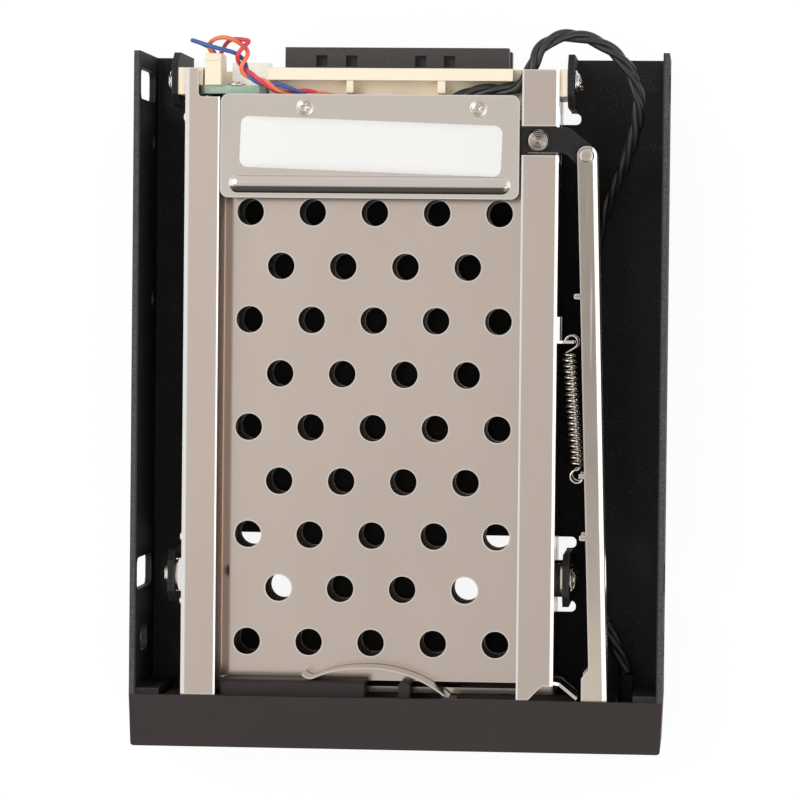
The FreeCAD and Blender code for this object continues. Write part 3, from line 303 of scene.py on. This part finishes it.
rivet_steel = make_steel(
    "rivet_steel", (0.46, 0.41, 0.35), 0.24, drawn_grain, (0.9, 0.88, 0.85),
    cloud=0.3, grain=isotropic, rings=(0.0261, 0.04905, 0),
)
wire_steel = make_steel("drawn_wire_steel", wire_grey, 0.16, 0.002 * MM, wire_grey, grain=isotropic)
steels = (
    sheet_steel, upper_steel, shaded_lower_steel, cover_steel, bar_steel, plated_steel, rivet_steel, wire_steel
)
print("steel finishes:", *(steel.name for steel in steels))

# %% [markdown]
# ## Powder coat
# The channel is coated in matt black powder, which melts into a fine orange peel. Two noises of
# different sizes bump it, and a sparse speckle of grey dust keeps the black from looking empty.

# %% Powder coat


def make_coat(name, colour, roughness, peel, highlight_and_scratch_colour, specks, specular, rim=None):
    """A coat with peel of the given size. A rim is (height, side): what lies above and outside gets a
    grainy painted highlight.
    """
    finish = Finish(name, colour, roughness, specular_ior_level=specular)
    waves, ripples = finish.noise(peel, 2), finish.noise(peel / 3, 2)
    dots = finish.ramp(finish.noise(0.22 * MM, 1), (0.62, 0.0), (0.74, 1.0))
    patches = finish.ramp(finish.noise(6 * MM, 2), (0.45, 0.1), (0.65, 1.0))
    _, edge = finish.soft_edges(0.5 * MM)
    dusty = finish.math("MULTIPLY", finish.math("MULTIPLY", dots, patches), specks)
    tint = finish.mix(dusty, colour, (0.16, 0.155, 0.15))
    if rim:
        height, side = rim
        # Painted highlight: the tops of the side walls, broken up by noise.
        rim_highlight = finish.ramp(finish.noise(0.3 * MM, 2), (0.35, 0.35), (0.65, 1.0))
        top = finish.step(finish.along((0, 0, 1)), height - 0.3 * MM, height)
        outside = finish.step(finish.math("ABSOLUTE", finish.along(across)), side - 0.2 * MM, side)
        rim_highlight = finish.math("MULTIPLY", outside, finish.math("MULTIPLY", top, rim_highlight))
        tint = finish.mix(rim_highlight, tint, (0.085, 0.082, 0.080))
    # Painted highlight: the colour near every edge is mixed toward the highlight colour.
    tint = finish.mix(finish.math("MULTIPLY", edge, 0.55), tint, highlight_and_scratch_colour)
    finish.feed("Base Color", tint)
    surface = finish.math("ADD", waves, finish.math("MULTIPLY", ripples, 0.6))
    finish.feed("Normal", finish.bump(surface, 0.05 * MM, 0.7))
    return finish.material


powder_coat = make_coat(
    "black_powder_coat", (0.0125, 0.0112, 0.0104), 0.6, 0.6 * MM, (0.050, 0.049, 0.048),
    specks=0.45, specular=0.22, rim=(0.0252, 0.04995),
)
dark_zinc = make_coat(
    "black_zinc", (0.024, 0.0215, 0.0205), 0.35, 0.4 * MM, (0.11, 0.105, 0.10), specks=0.1, specular=0.5
)

# %% [markdown]
# ## Mouldings
# The bezel is black moulded plastic with a fine spark-eroded grain, the bracket is ivory nylon and
# the connectors are a drier black. The same function makes them all, and the grain's size and
# depth tell them apart. White nylon is so pale that light passed on inside it brightens the shaded
# side, and a faint emission stands for that.

# %% Plastics


def make_plastic(name, colour, roughness, grain_size, grain_depth, dust=0.0, cloud=0.04, **sockets):
    """Moulded plastic: faint clouds in the colour, a grain in roughness and bump, and some dust."""
    finish = Finish(name, colour, roughness, **sockets)
    grain = finish.noise(grain_size, 2)
    clouds = finish.ramp(finish.noise(12 * MM, 3), (0.3, 0.0), (0.7, 1.0))
    tint = finish.mix(clouds, shaded(colour, 1 - cloud), shaded(colour, 1 + cloud))
    if dust:
        specks = finish.ramp(finish.noise(0.5 * MM, 1), (0.72, 0.0), (0.78, 1.0))
        tint = finish.mix(finish.math("MULTIPLY", specks, dust), tint, (0.3, 0.28, 0.26))
    finish.feed("Base Color", tint)
    normal, _ = finish.soft_edges(0.2 * MM)
    finish.feed("Roughness", finish.ramp(grain, (0.3, roughness * 0.9), (0.7, roughness * 1.1)))
    finish.feed("Normal", finish.bump(grain, grain_depth, 0.5, normal))
    return finish.material


bezel_plastic = make_plastic(
    "grained_black_plastic", (0.0195, 0.0120, 0.0105), 0.52, 0.22 * MM, 0.02 * MM, dust=0.04,
    specular_ior_level=0.38,
)
port_plastic = make_plastic(
    "dry_black_plastic", (0.040, 0.036, 0.034), 0.55, 0.15 * MM, 0.02 * MM, dust=0.15,
    specular_ior_level=0.4,
)
# Painted shade: a near-black with little shine, for parts deep in the rack where shade falls.
painted_shade_plastic = make_plastic(
    "painted_shade_black_plastic", (0.006, 0.0055, 0.0055), 0.7, 0.2 * MM, 0.01 * MM, specular_ior_level=0.15
)
ivory_nylon = make_plastic(
    "ivory_nylon", (0.91, 0.80, 0.62), 0.42, 0.4 * MM, 0.01 * MM, cloud=0.015, specular_ior_level=0.4
)
# Painted light: a faint emission brightens the shaded side of the white nylon.
glowing_header_nylon = make_plastic(
    "glowing_white_nylon", (0.93, 0.90, 0.85), 0.5, 0.4 * MM, 0.01 * MM, cloud=0.01,
    emission_color=(0.9, 0.85, 0.8, 1), emission_strength=0.35,
)
lens_plastic = make_plastic(
    "clear_lens", (0.86, 0.90, 0.93), 0.12, 0.5 * MM, 0.002 * MM, cloud=0.01, transmission_weight=0.85
)

# %% [markdown]
# ## The circuit board
# A board is glass cloth under a green lacquer. On its faces the lacquer is dark and glossy, with
# paler tracks underneath. On its sawn edges the pale glass shows. The normal's Y part tells a face
# from an edge, because this board stands upright across the rack.

# %% Board finish


def make_board():
    """Lacquer over tracks on the two faces, and bare glass cloth on the sawn edges."""
    finish = Finish("green_board", (0.03, 0.16, 0.075), 0.3, specular_ior_level=0.5)
    normal = finish.node("ShaderNodeTexCoord").outputs["Normal"]
    facing = finish.math("ABSOLUTE", finish.part(normal, "Y"))
    # Flat along Y, so that each track keeps its place through the whole board.
    mapped = finish.node("ShaderNodeMapping", Vector=finish.places, Scale=(1, 0.0, 1))
    tracks = finish.node(
        "ShaderNodeTexBrick", Vector=mapped.outputs[0], Scale=420.0, offset=0.35, Mortar_Size=0.035
    ).outputs["Fac"]
    weave = finish.noise(0.4 * MM, 2)
    lacquer = finish.mix(tracks, (0.018, 0.115, 0.050), (0.05, 0.21, 0.10))
    sawn = finish.mix(weave, (0.26, 0.42, 0.30), (0.60, 0.74, 0.62))
    finish.feed("Base Color", finish.mix(finish.ramp(facing, (0.4, 0.0), (0.6, 1.0)), sawn, lacquer))
    finish.feed("Roughness", finish.ramp(facing, (0.4, 0.65), (0.6, 0.28)))
    finish.feed("Normal", finish.bump(tracks, 0.02 * MM, 0.4))
    return finish.material


board_lacquer = make_board()

# %% Dress the CAD nodes
finish_of_slot = {
    "black_steel": powder_coat,
    "stainless": sheet_steel,
    "bright_steel": plated_steel,
    "spring_steel": wire_steel,
    "dark_screw": dark_zinc,
    "ivory_plastic": ivory_nylon,
    "port_plastic": port_plastic,
    "black_plastic": bezel_plastic,
    "green_board": board_lacquer,
    "clear_plastic": lens_plastic,
}
slot_of_node = {part["node"]: part["material_slot"] for part in frame["record"]["subparts"]}
for name, node in frame["nodes"].items():
    for place in node.material_slots:
        place.link = "OBJECT"
        place.material = finish_of_slot.get(slot_of_node[name], port_plastic)
own_finish = {
    # The lower tray takes the darker, painted-shade copy of the steel.
    "drive_cage_lower": shaded_lower_steel,
    "drive_cage_upper": upper_steel,
    "connector_cover": cover_steel,
    "eject_bar_lower": bar_steel,
    "eject_bar_upper": bar_steel,
    "power_header": glowing_header_nylon,
    # Painted shade: the front plug and board, deep in the rack, take a near-black for the shade there.
    "front_plug": painted_shade_plastic,
    "front_board": painted_shade_plastic,
    "lever_rivet_lower": rivet_steel,
    "lever_rivet_upper": rivet_steel,
}
for name, finish in own_finish.items():
    frame["nodes"][name].material_slots[0].material = finish
print("dressed:", len(frame["nodes"]), "nodes,", len(own_finish), "of them in a finish of their own")

# %% [markdown]
# ## Surfaces from arrays
# A new piece is a grid of points: rows along one parameter, columns along the other. The faces
# follow from the grid alone, so one function turns any such array into a mesh, closing it round
# the columns and capping its ends where asked.

# %% Grid mesh


def grid_faces(rows, columns):
    """Quads of a grid, as index arrays: each cell joins its four corners, and the columns close up."""
    index = np.arange(rows * columns).reshape(rows, columns)
    index = np.hstack([index, index[:, :1]])
    return np.stack([index[:-1, :-1], index[:-1, 1:], index[1:, 1:], index[1:, :-1]], -1).reshape(-1, 4)


def join_grids(name, grids, material, caps=True):
    """One mesh from several grids of shape (rows, columns, 3), in metres."""
    points, faces, start = [], [], 0
    for grid in grids:
        rows, columns = grid.shape[:2]
        points.append(grid.reshape(-1, 3))
        faces += (grid_faces(rows, columns) + start).tolist()
        if caps:
            faces.append(list(range(start + columns - 1, start - 1, -1)))
            faces.append(list(range(start + (rows - 1) * columns, start + rows * columns)))
        start += rows * columns
    mesh = bpy.data.meshes.new(name)
    mesh.from_pydata(np.concatenate(points).tolist(), [], faces)
    mesh.shade_smooth()
    mesh.materials.append(material)
    piece = bpy.data.objects.new(name, mesh)
    scene.collection.objects.link(piece)
    return piece


def unit(vectors):
    """Vectors of length one along the given ones."""
    return vectors / np.linalg.norm(vectors, axis=-1, keepdims=True)


def side_and_up(line):
    """Two unit vectors at each point of a line, both square to it; the first is level."""
    tangent = unit(np.gradient(line, axis=0))
    side = unit(np.cross(tangent, (0, 0, 1.0)))
    return side, np.cross(side, tangent)


def tube_grid(line, side, up, radius, sides):
    """Rings round a line: point + radius * (cos a * side + sin a * up)."""
    angle = np.linspace(0, 2 * np.pi, sides, endpoint=False)[None, :, None]
    return line[:, None] + radius * (np.cos(angle) * side[:, None] + np.sin(angle) * up[:, None])


# %% [markdown]
# ## Wires
# A wire is a fixed length of copper in a soft sleeve, so it runs in smooth curves and never in
# corners. A NURBS spline of order 3 does that from a few given points. The three lamp
# wires are drawn one by one, because each takes its own loop before they twist together.

# %% Wire finishes and a wire


def make_sleeve(name, colour, roughness=0.38):
    """A soft wire sleeve: a smooth skin whose colour is a little mottled."""
    finish = Finish(name, colour, roughness, specular_ior_level=0.5, coat_weight=0.15)
    mottle = finish.ramp(finish.noise(3 * MM, 3), (0.3, 0.0), (0.7, 1.0))
    light = tuple(min(1, part * 1.1 + 0.004) for part in colour)
    finish.feed("Base Color", finish.mix(mottle, shaded(colour, 0.86), light))
    finish.feed("Normal", finish.bump(finish.noise(0.4 * MM, 2), 0.01 * MM, 0.4))
    return finish.material


wire_colours = {"red": (0.70, 0.040, 0.060), "orange": (0.88, 0.20, 0.085), "blue": (0.040, 0.105, 0.36)}
black_sleeve = make_sleeve("black_wire_sleeve", (0.014, 0.0135, 0.014), 0.42)


def spline_route(name, points, material=None, radius=0.0, steps=10):
    """A NURBS curve object along points given in millimetres, in so many steps per point."""
    curve = bpy.data.curves.new(name, "CURVE")
    curve.dimensions = "3D"
    curve.resolution_u = steps
    spline = curve.splines.new("NURBS")
    spline.points.add(len(points) - 1)
    for control, point in zip(spline.points, points):
        control.co = (*(MM * c for c in point), 1)
    spline.order_u = 3
    spline.use_endpoint_u = True
    if radius:
        curve.bevel_depth = radius
        curve.bevel_resolution = 5
        curve.use_fill_caps = True
    if material:
        curve.materials.append(material)
    route = bpy.data.objects.new(name, curve)
    scene.collection.objects.link(route)
    return route


def line_through(points, steps=10):
    """The line that a spline through the points takes, as Blender evaluates it, in metres."""
    route = spline_route("measure", points, steps=steps)
    mesh = bpy.data.meshes.new_from_object(route)
    places = np.empty(len(mesh.vertices) * 3)
    mesh.vertices.foreach_get("co", places)
    bpy.data.meshes.remove(mesh)
    bpy.data.objects.remove(route)
    return places.reshape(-1, 3)


def path_length(places):
    """The sum of the distances from each point to the next."""
    return float(np.linalg.norm(np.diff(places, axis=0), axis=1).sum())


# %% Three lamp wires
lamp_wire_radius = 0.42 * MM
lamp_wires = {
    "blue": [
        (-36.0, 64.9, 19.0), (-36.4, 66.3, 18.8), (-38.8, 67.5, 19.2), (-40.6, 68.0, 20.8),
        (-39.4, 67.6, 22.4), (-37.0, 66.8, 23.3), (-34.2, 66.0, 23.5), (-31.9, 65.5, 22.9),
        (-30.6, 64.6, 22.3), (-29.8, 63.4, 22.4), (-29.5, 62.0, 22.9), (-28.8, 60.7, 23.5),
        (-27.4, 59.7, 23.5), (-25.6, 59.3, 23.1), (-23.4, 59.6, 23.5), (-21.0, 58.6, 23.3),
        (-18.6, 57.6, 22.2), (-14.6, 57.4, 21.8), (-10.6, 56.3, 21.9), (-6.6, 55.5, 22.5),
    ],
    "orange": [
        (-36.0, 64.9, 21.2), (-36.7, 65.8, 21.2), (-37.1, 67.0, 21.8), (-35.8, 68.1, 22.7),
        (-33.8, 68.4, 23.2), (-32.0, 67.9, 23.2), (-30.2, 66.8, 22.8), (-29.2, 65.6, 22.8),
        (-29.6, 64.3, 23.5), (-30.4, 63.1, 23.9), (-30.5, 61.8, 23.5), (-29.4, 60.8, 22.8),
        (-27.8, 60.4, 23.0), (-26.2, 60.3, 23.8), (-24.7, 59.2, 24.1), (-23.2, 58.0, 23.3),
        (-20.0, 57.2, 22.0), (-15.6, 58.0, 22.6), (-11.0, 57.0, 22.4), (-6.6, 55.5, 21.7),
    ],
    "red": [
        (-35.7, 64.9, 17.0), (-34.9, 66.0, 17.6), (-33.9, 67.3, 20.6), (-32.5, 68.1, 22.2),
        (-30.8, 68.0, 22.9), (-28.8, 67.7, 23.5), (-29.8, 66.7, 24.2), (-30.9, 65.5, 24.2),
        (-31.4, 64.4, 23.5), (-30.9, 63.2, 22.7), (-29.9, 62.3, 22.7), (-28.5, 61.5, 23.7),
        (-27.0, 60.2, 24.3), (-25.4, 59.1, 24.1), (-23.6, 58.0, 23.1), (-21.4, 57.8, 22.2),
        (-18.0, 58.6, 22.6), (-13.6, 56.8, 22.2), (-10.0, 56.6, 21.4), (-6.6, 55.5, 20.9),
    ],
}
for colour, route_points in lamp_wires.items():
    sleeve = make_sleeve(colour + "_sleeve", wire_colours[colour])
    wire = spline_route("lamp_wire_" + colour, route_points, sleeve, lamp_wire_radius)
    places = line_through(route_points)
    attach(wire, "rack")
    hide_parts("led_wires")
    print(wire.name, round(path_length(places) * 1000, 1), "mm")

# %% [markdown]
# ## The power loom
# Three black wires are twisted into one loom that runs from under the cover to the front board.
# Each wire is a tube whose centre turns round the loom's own line: a third of a turn apart, one
# turn every 15 mm. The line is a NURBS spline, and the turn angle is its arc length divided by the
# lay of the twist.

# %% Twisted loom
loom_route = [
    (9.2, 56.0, 22.1), (12.6, 58.3, 22.1), (17.4, 58.65, 22.1), (22.4, 58.85, 22.15), (24.6, 62.4, 22.1),
    (26.0, 67.0, 21.0), (30.6, 69.6, 19.6), (36.6, 68.6, 18.9), (41.6, 65.2, 18.3), (44.6, 60.0, 17.4),
    (45.0, 54.0, 16.0), (43.2, 47.6, 13.2), (40.8, 41.8, 9.2), (38.4, 36.4, 5.4), (36.6, 30.4, 3.4),
    (35.9, 20.0, 2.8), (35.8, 4.0, 2.8), (35.8, -14.0, 2.8), (36.2, -30.0, 2.9), (38.0, -41.0, 3.2),
    (41.8, -48.2, 4.0), (43.7, -53.4, 4.6),
]
loom_lay = 15.0 * MM
strand_count = 3
strand_offset, strand_radius = 0.62 * MM, 0.69 * MM
loom_line = line_through(loom_route, steps=24)


def twisted_strand(line, phase):
    """Centre = line + offset * (cos t * side + sin t * up), with t = phase + 2 pi * arc length / lay."""
    side, up = side_and_up(line)
    steps = np.linalg.norm(np.diff(line, axis=0), axis=1)
    turn = phase + 2 * np.pi * np.concatenate([[0], np.cumsum(steps)]) / loom_lay
    centres = line + strand_offset * (np.cos(turn)[:, None] * side + np.sin(turn)[:, None] * up)
    return tube_grid(centres, *side_and_up(centres), strand_radius, 12)


strands = [twisted_strand(loom_line, k * 2 * np.pi / strand_count) for k in range(strand_count)]
loom = join_grids("twisted_power_loom", strands, black_sleeve)
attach(loom, "rack")
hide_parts("power_loom")
print("loom", round(path_length(loom_line) * 1000, 1), "mm")

# %% [markdown]
# ## Return springs
# An extension spring pulls each eject bar to the rear. Its wire is one path: a hook, a close
# coil, and a second hook. The coil is a helix, x = r cos t, z = r sin t, y along the axis with t.
# Each hook is part of a circle in the level plane.

# %% Return springs
spring_wire = 0.20 * MM
coil_radius = 1.13 * MM
hook_radius = 1.24 * MM
rear_hook = np.array([32.74, 11.05]) * MM
front_hook = np.array([34.06, -14.45]) * MM
axis_height = 9.0 * MM
axis_offset = np.array([[0.0, 2.2], [-0.4, -2.2]]) * MM
bay_lift = {"lower": 1.2 * MM, "upper": 12.8 * MM}
coil_turns = 19.5
points_per_turn = 20


def spring_line(height):
    """Rear hook arc, helix, front hook arc, as one array of points in metres."""
    axis_start, axis_end = front_hook + axis_offset[0], rear_hook + axis_offset[1]
    along = unit(axis_end - axis_start)
    sideways = np.array([along[1], -along[0]])
    turn = np.linspace(0, 2 * np.pi * coil_turns, int(coil_turns * points_per_turn))
    share = (turn / turn[-1])[:, None]
    middle = axis_start + share * (axis_end - axis_start)
    coil_xy = middle + (coil_radius * np.cos(turn))[:, None] * sideways
    coil = np.column_stack([coil_xy, height + coil_radius * np.sin(turn)])

    def hook(centre, first, last):
        """An arc in the level plane about the centre, from the first to the last angle in degrees."""
        angle = np.radians(np.linspace(first, last, 40))[:, None]
        flat = centre + hook_radius * np.hstack([np.cos(angle), np.sin(angle)])
        return np.column_stack([flat, np.full(len(flat), height)])

    return np.concatenate([hook(front_hook, -20, -285), coil[1:-1], hook(rear_hook, -80, 190)])


def smooth_line(line, passes):
    """Averages each point with its neighbours, with the two ends held."""
    for _ in range(passes):
        line = np.concatenate([line[:1], (line[:-2] + 2 * line[1:-1] + line[2:]) / 4, line[-1:]])
    return line


def carried_frame(line):
    """Side and up vectors carried along the line without twist, one station after the other."""
    tangent = unit(np.gradient(line, axis=0))
    side = np.empty_like(line)
    side[0] = np.cross(tangent[0], (0, 0, 1.0))
    for k in range(1, len(line)):
        side[k] = unit(side[k - 1] - tangent[k] * (side[k - 1] @ tangent[k]))
    return side, np.cross(side, tangent)


for bay, lift in bay_lift.items():
    line = smooth_line(spring_line(lift + axis_height), 2)
    wire_rings = tube_grid(line, *carried_frame(line), spring_wire, 8)
    spring = join_grids("coil_spring_" + bay, [wire_rings], wire_steel)
    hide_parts("return_spring_" + bay)
    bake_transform(spring)
    print(spring.name, round(path_length(line) * 1000), "mm of wire")

# %% [markdown]
# ## Screws
# A screw head is a surface of revolution with a cross pressed into it. In polar form its height
# is the dome, h (1 - (r / R)^p), less the cross: full depth where a point is within half a slot
# width of either axis, fading to nothing at the end of the slot. One function makes every head,
# and a frame of three directions sets it on the cover, the board or the side tabs.

# %% Cross-head screws
dome_power = 2.6
half_slot, slot_reach, slot_depth = 0.13, 0.55, 0.6
groove_radius, groove_width, groove_depth = 0.80, 0.03, 0.30
head_rings, head_sides = 34, 72
off_every_axis = (0.3, 0.5, 0.8)


def smooth_step(value, low, high):
    """0 below low, 1 above high, with a soft turn between."""
    share = np.clip((value - low) / (high - low), 0, 1)
    return share * share * (3 - 2 * share)


def screw_head(centre, axis, radius, rise, spin):
    """Dome less cross and groove, on rings that shrink from the rim to the middle. The sizes above
    are shares of the radius, and the depths are shares of the rise."""
    axis = np.asarray(axis, float)
    first = unit(np.cross(axis, off_every_axis))
    second = np.cross(axis, first)
    share = np.concatenate([[1.0, 1.0], np.linspace(0.985, 0.01, head_rings)])[:, None]
    angle = np.linspace(0, 2 * np.pi, head_sides, endpoint=False)[None, :]
    x, y = share * np.cos(angle), share * np.sin(angle)
    dome = 0.25 + 0.75 * (1 - share**dome_power)
    off_axis = np.minimum(
        np.abs(np.cos(spin) * x + np.sin(spin) * y), np.abs(np.cos(spin) * y - np.sin(spin) * x)
    )
    beside_slot = smooth_step(off_axis, half_slot, half_slot * 1.7)
    cross = (1 - beside_slot) * (1 - smooth_step(share, slot_reach * 0.8, slot_reach))
    groove = groove_depth * np.exp(-(((share - groove_radius) / groove_width) ** 2))
    height = dome - slot_depth * cross * (1.2 - share) - groove
    height[0] = 0.0
    flat = radius * (x[..., None] * first + y[..., None] * second)
    return np.asarray(centre) + flat + rise * height[..., None] * axis


def add_screws(name, heads, node, finish):
    """Joins the heads to one piece that stands for a node."""
    piece = join_grids(name, heads, finish)
    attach(piece, "rack")
    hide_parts(node)


nickel = make_steel("nickel_plate", (0.70, 0.64, 0.57), 0.22, polish, (0.95, 0.92, 0.88), grain=isotropic)
warm_nickel = make_steel(
    "warm_nickel_plate", (0.50, 0.44, 0.36), 0.32, polish, (0.80, 0.75, 0.68), grain=isotropic
)
cover_heads = [
    screw_head((x * MM, 55.1 * MM, 24.38 * MM), (0, 0, 1), 1.65 * MM, 0.5 * MM, spin)
    for x, spin in ((-18.2, 0.5), (14.8, 0.95))
]
add_screws("cross_head_cover_screws", cover_heads, "cover_screws", warm_nickel)
board_head = [screw_head((-31.6 * MM, 59.25 * MM, 21.0 * MM), (0, 1, 0), 1.8 * MM, 1.15 * MM, 0.3)]
add_screws("cross_head_board_screw", board_head, "board_screws", nickel)
tab_faces = [(-43.85, -1.0), (32.75, 1.0)]
tab_heads = []
for face, outward in tab_faces:
    for lift in bay_lift.values():
        for end_y in (60.4, -34.4):
            place = (face * MM, end_y * MM, lift + 5.8 * MM)
            tab_heads.append(screw_head(place, (outward, 0, 0), 2.25 * MM, 1.2 * MM, 0.2 * end_y + lift))
add_screws("cross_head_tab_screws", tab_heads, "cage_screws", nickel)
print("screw heads:", len(cover_heads) + len(board_head) + len(tab_heads))

# %% [markdown]
# ## Label
# A blank paper label lies on the cover. It is a rounded rectangle: a superellipse of high power
# would nearly do, but a real die-cut corner is a quarter circle, so the outline is four arcs
# joined by straight sides. The sheet is filled in rings that shrink toward its middle.

# %% Label
paper = Finish("label_paper", (0.82, 0.81, 0.78), 0.5, specular_ior_level=0.35)
fibres = paper.noise(0.8 * MM, 4)
paper.feed("Base Color", paper.mix(fibres, (0.80, 0.792, 0.765), (0.835, 0.828, 0.80)))
paper.feed("Normal", paper.bump(paper.noise(3 * MM, 3), 0.03 * MM, 0.2))
label_middle = np.array([-5.6, 47.75]) * MM
label_half = np.array([24.9, 4.85]) * MM
label_turn = math.radians(-1.9)
label_corner = 1.6 * MM
label_thickness = 0.10 * MM
cover_top = 24.4 * MM


def rounded_outline(half, radius):
    """Four quarter circles about the inset corners, joined by the straight sides."""
    centres = (half - radius) * np.array([[1, 1], [-1, 1], [-1, -1], [1, -1]])
    quarter = np.linspace(0, np.pi / 2, 10)
    angle = quarter[None] + np.arange(4)[:, None] * np.pi / 2
    ring = centres[:, None] + radius * np.stack([np.cos(angle), np.sin(angle)], -1)
    return ring.reshape(-1, 2)


turn_cos, turn_sin = math.cos(label_turn), math.sin(label_turn)
turned_axes = np.array([[turn_cos, turn_sin], [-turn_sin, turn_cos]])
outline = rounded_outline(label_half, label_corner) @ turned_axes
shrink_and_rise = [(1.0, 0.0), (1.0, 0.8), (0.998, 1.0), (0.6, 1.0), (0.2, 1.0)]
label_rings = np.stack([
    np.column_stack([
        label_middle + shrink * outline, np.full(len(outline), cover_top + rise * label_thickness)
    ])
    for shrink, rise in shrink_and_rise
])
label = join_grids("blank_label", [label_rings], paper.material)
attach(label, "rack")
print("label:", *(2 * label_half / MM).round(1), "mm")

# %% [markdown]
# ## Studio
# The object lies on a white table under a soft tent of light, which is what shows bare steel at
# its best: flat faces reflect the bright ceiling and curved edges reflect the darker sides. The
# dark sides are a band that only reflections can see.

# %% Table


def bare_material(name):
    """A material without a shader yet: returns the material and its node tree."""
    material = bpy.data.materials.new(name)
    material.use_nodes = True
    material.node_tree.nodes.remove(material.node_tree.nodes["Principled BSDF"])
    return material, material.node_tree


def tree_math(tree, operation, first, second=0.0):
    """One number worked out from two, as Finish.math does it in a finish."""
    return add_node(tree, "ShaderNodeMath", operation=operation, i0=first, i1=second).outputs[0]


def show(tree, shader):
    """Puts the shader on the surface."""
    tree.links.new(shader.outputs[0], tree.nodes["Material Output"].inputs["Surface"])


# The table glows white for the eye and for reflections, and stays matt for the light it passes on.
table_white, tree = bare_material("white_table")
rays = add_node(tree, "ShaderNodeLightPath").outputs
mirrored = tree_math(tree, "MAXIMUM", rays["Is Glossy Ray"], rays["Is Transmission Ray"])
seen = tree_math(tree, "MAXIMUM", rays["Is Camera Ray"], mirrored)
matt = add_node(tree, "ShaderNodeBsdfDiffuse", Color=(0.82, 0.82, 0.82))
glow = add_node(tree, "ShaderNodeEmission", Strength=1.06)
glow_share = tree_math(tree, "MULTIPLY", seen, 0.86)
show(tree, add_node(tree, "ShaderNodeMixShader", i0=glow_share, i1=matt.outputs[0], i2=glow.outputs[0]))
table_size = 3.0
table_mesh = bpy.data.meshes.new("table")
corners = np.array([[-1, -1], [1, -1], [1, 1], [-1, 1]]) * table_size
table_mesh.from_pydata([(x, y, -0.05 * MM) for x, y in corners], [], [(0, 1, 2, 3)])
table_mesh.materials.append(table_white)
table = bpy.data.objects.new("table", table_mesh)
scene.collection.objects.link(table)

# %% Dark sides, seen only in reflections
band_radius, band_foot, band_top = 1.6, -0.3, 1.9
band_glow, tree = bare_material("dark_sides")
place = add_node(tree, "ShaderNodeTexCoord").outputs["Object"]
place = add_node(tree, "ShaderNodeSeparateXYZ", Vector=place).outputs
# The band is dark low down and brighter near its top. It is brighter still toward +Y, and a bright
# window stands on the left and on the right.
rising = map_range(tree, place["Z"], 0.6, 1.3, 0.03, 0.7)
toward_rear = map_range(tree, place["Y"], -0.8, 0.8)
walls = add_node(tree, "ShaderNodeMix", i0=toward_rear, i2=rising, i3=0.8).outputs[0]
windows = map_range(tree, tree_math(tree, "ABSOLUTE", place["X"]), 1.05, 1.35, 0.0, 1.25)
show(tree, add_node(tree, "ShaderNodeEmission", Strength=tree_math(tree, "MAXIMUM", walls, windows)))
turn = np.linspace(0, 2 * np.pi, 64, endpoint=False)
rings = np.stack([
    np.column_stack([band_radius * np.cos(turn), band_radius * np.sin(turn), np.full(64, z)])
    for z in np.linspace(band_foot, band_top, 12)
])
band = join_grids("dark_band", [rings], band_glow, caps=False)
for sight in ("visible_camera", "visible_diffuse", "visible_transmission", "visible_shadow"):
    setattr(band, sight, False)
print("table", 2 * table_size, "m wide, band of radius", band_radius, "m")

# %% Light
world = bpy.data.worlds.new("tent")
scene.world = world
world.use_nodes = True
world.node_tree.nodes["Background"].inputs["Color"].default_value = (1, 1, 1, 1)
world.node_tree.nodes["Background"].inputs["Strength"].default_value = 0.74


def soft_box(name, place, size, power):
    """A square lamp that looks at the origin."""
    lamp = bpy.data.lights.new(name, "AREA")
    lamp.shape, lamp.size, lamp.energy = "SQUARE", size, power
    box = bpy.data.objects.new(name, lamp)
    scene.collection.objects.link(box)
    box.location = place
    box.rotation_mode = "QUATERNION"
    box.rotation_quaternion = (-Vector(place)).to_track_quat("-Z", "Y")


soft_box("key", (-0.55, 0.35, 0.9), 0.5, 3.6)
soft_box("fill", (0.6, -0.5, 0.8), 0.6, 2.4)

# %% Camera
camera = bpy.data.cameras.new("camera")
camera.lens = 179.3
camera.sensor_width = 36
viewer = bpy.data.objects.new("camera", camera)
scene.collection.objects.link(viewer)
viewer.location = (0.0598, 0.0186, 0.7776)
viewer.rotation_euler = [math.radians(angle) for angle in (-1.383, 4.518, 0.59)]
scene.camera = viewer
scene.view_settings.view_transform = "Standard"
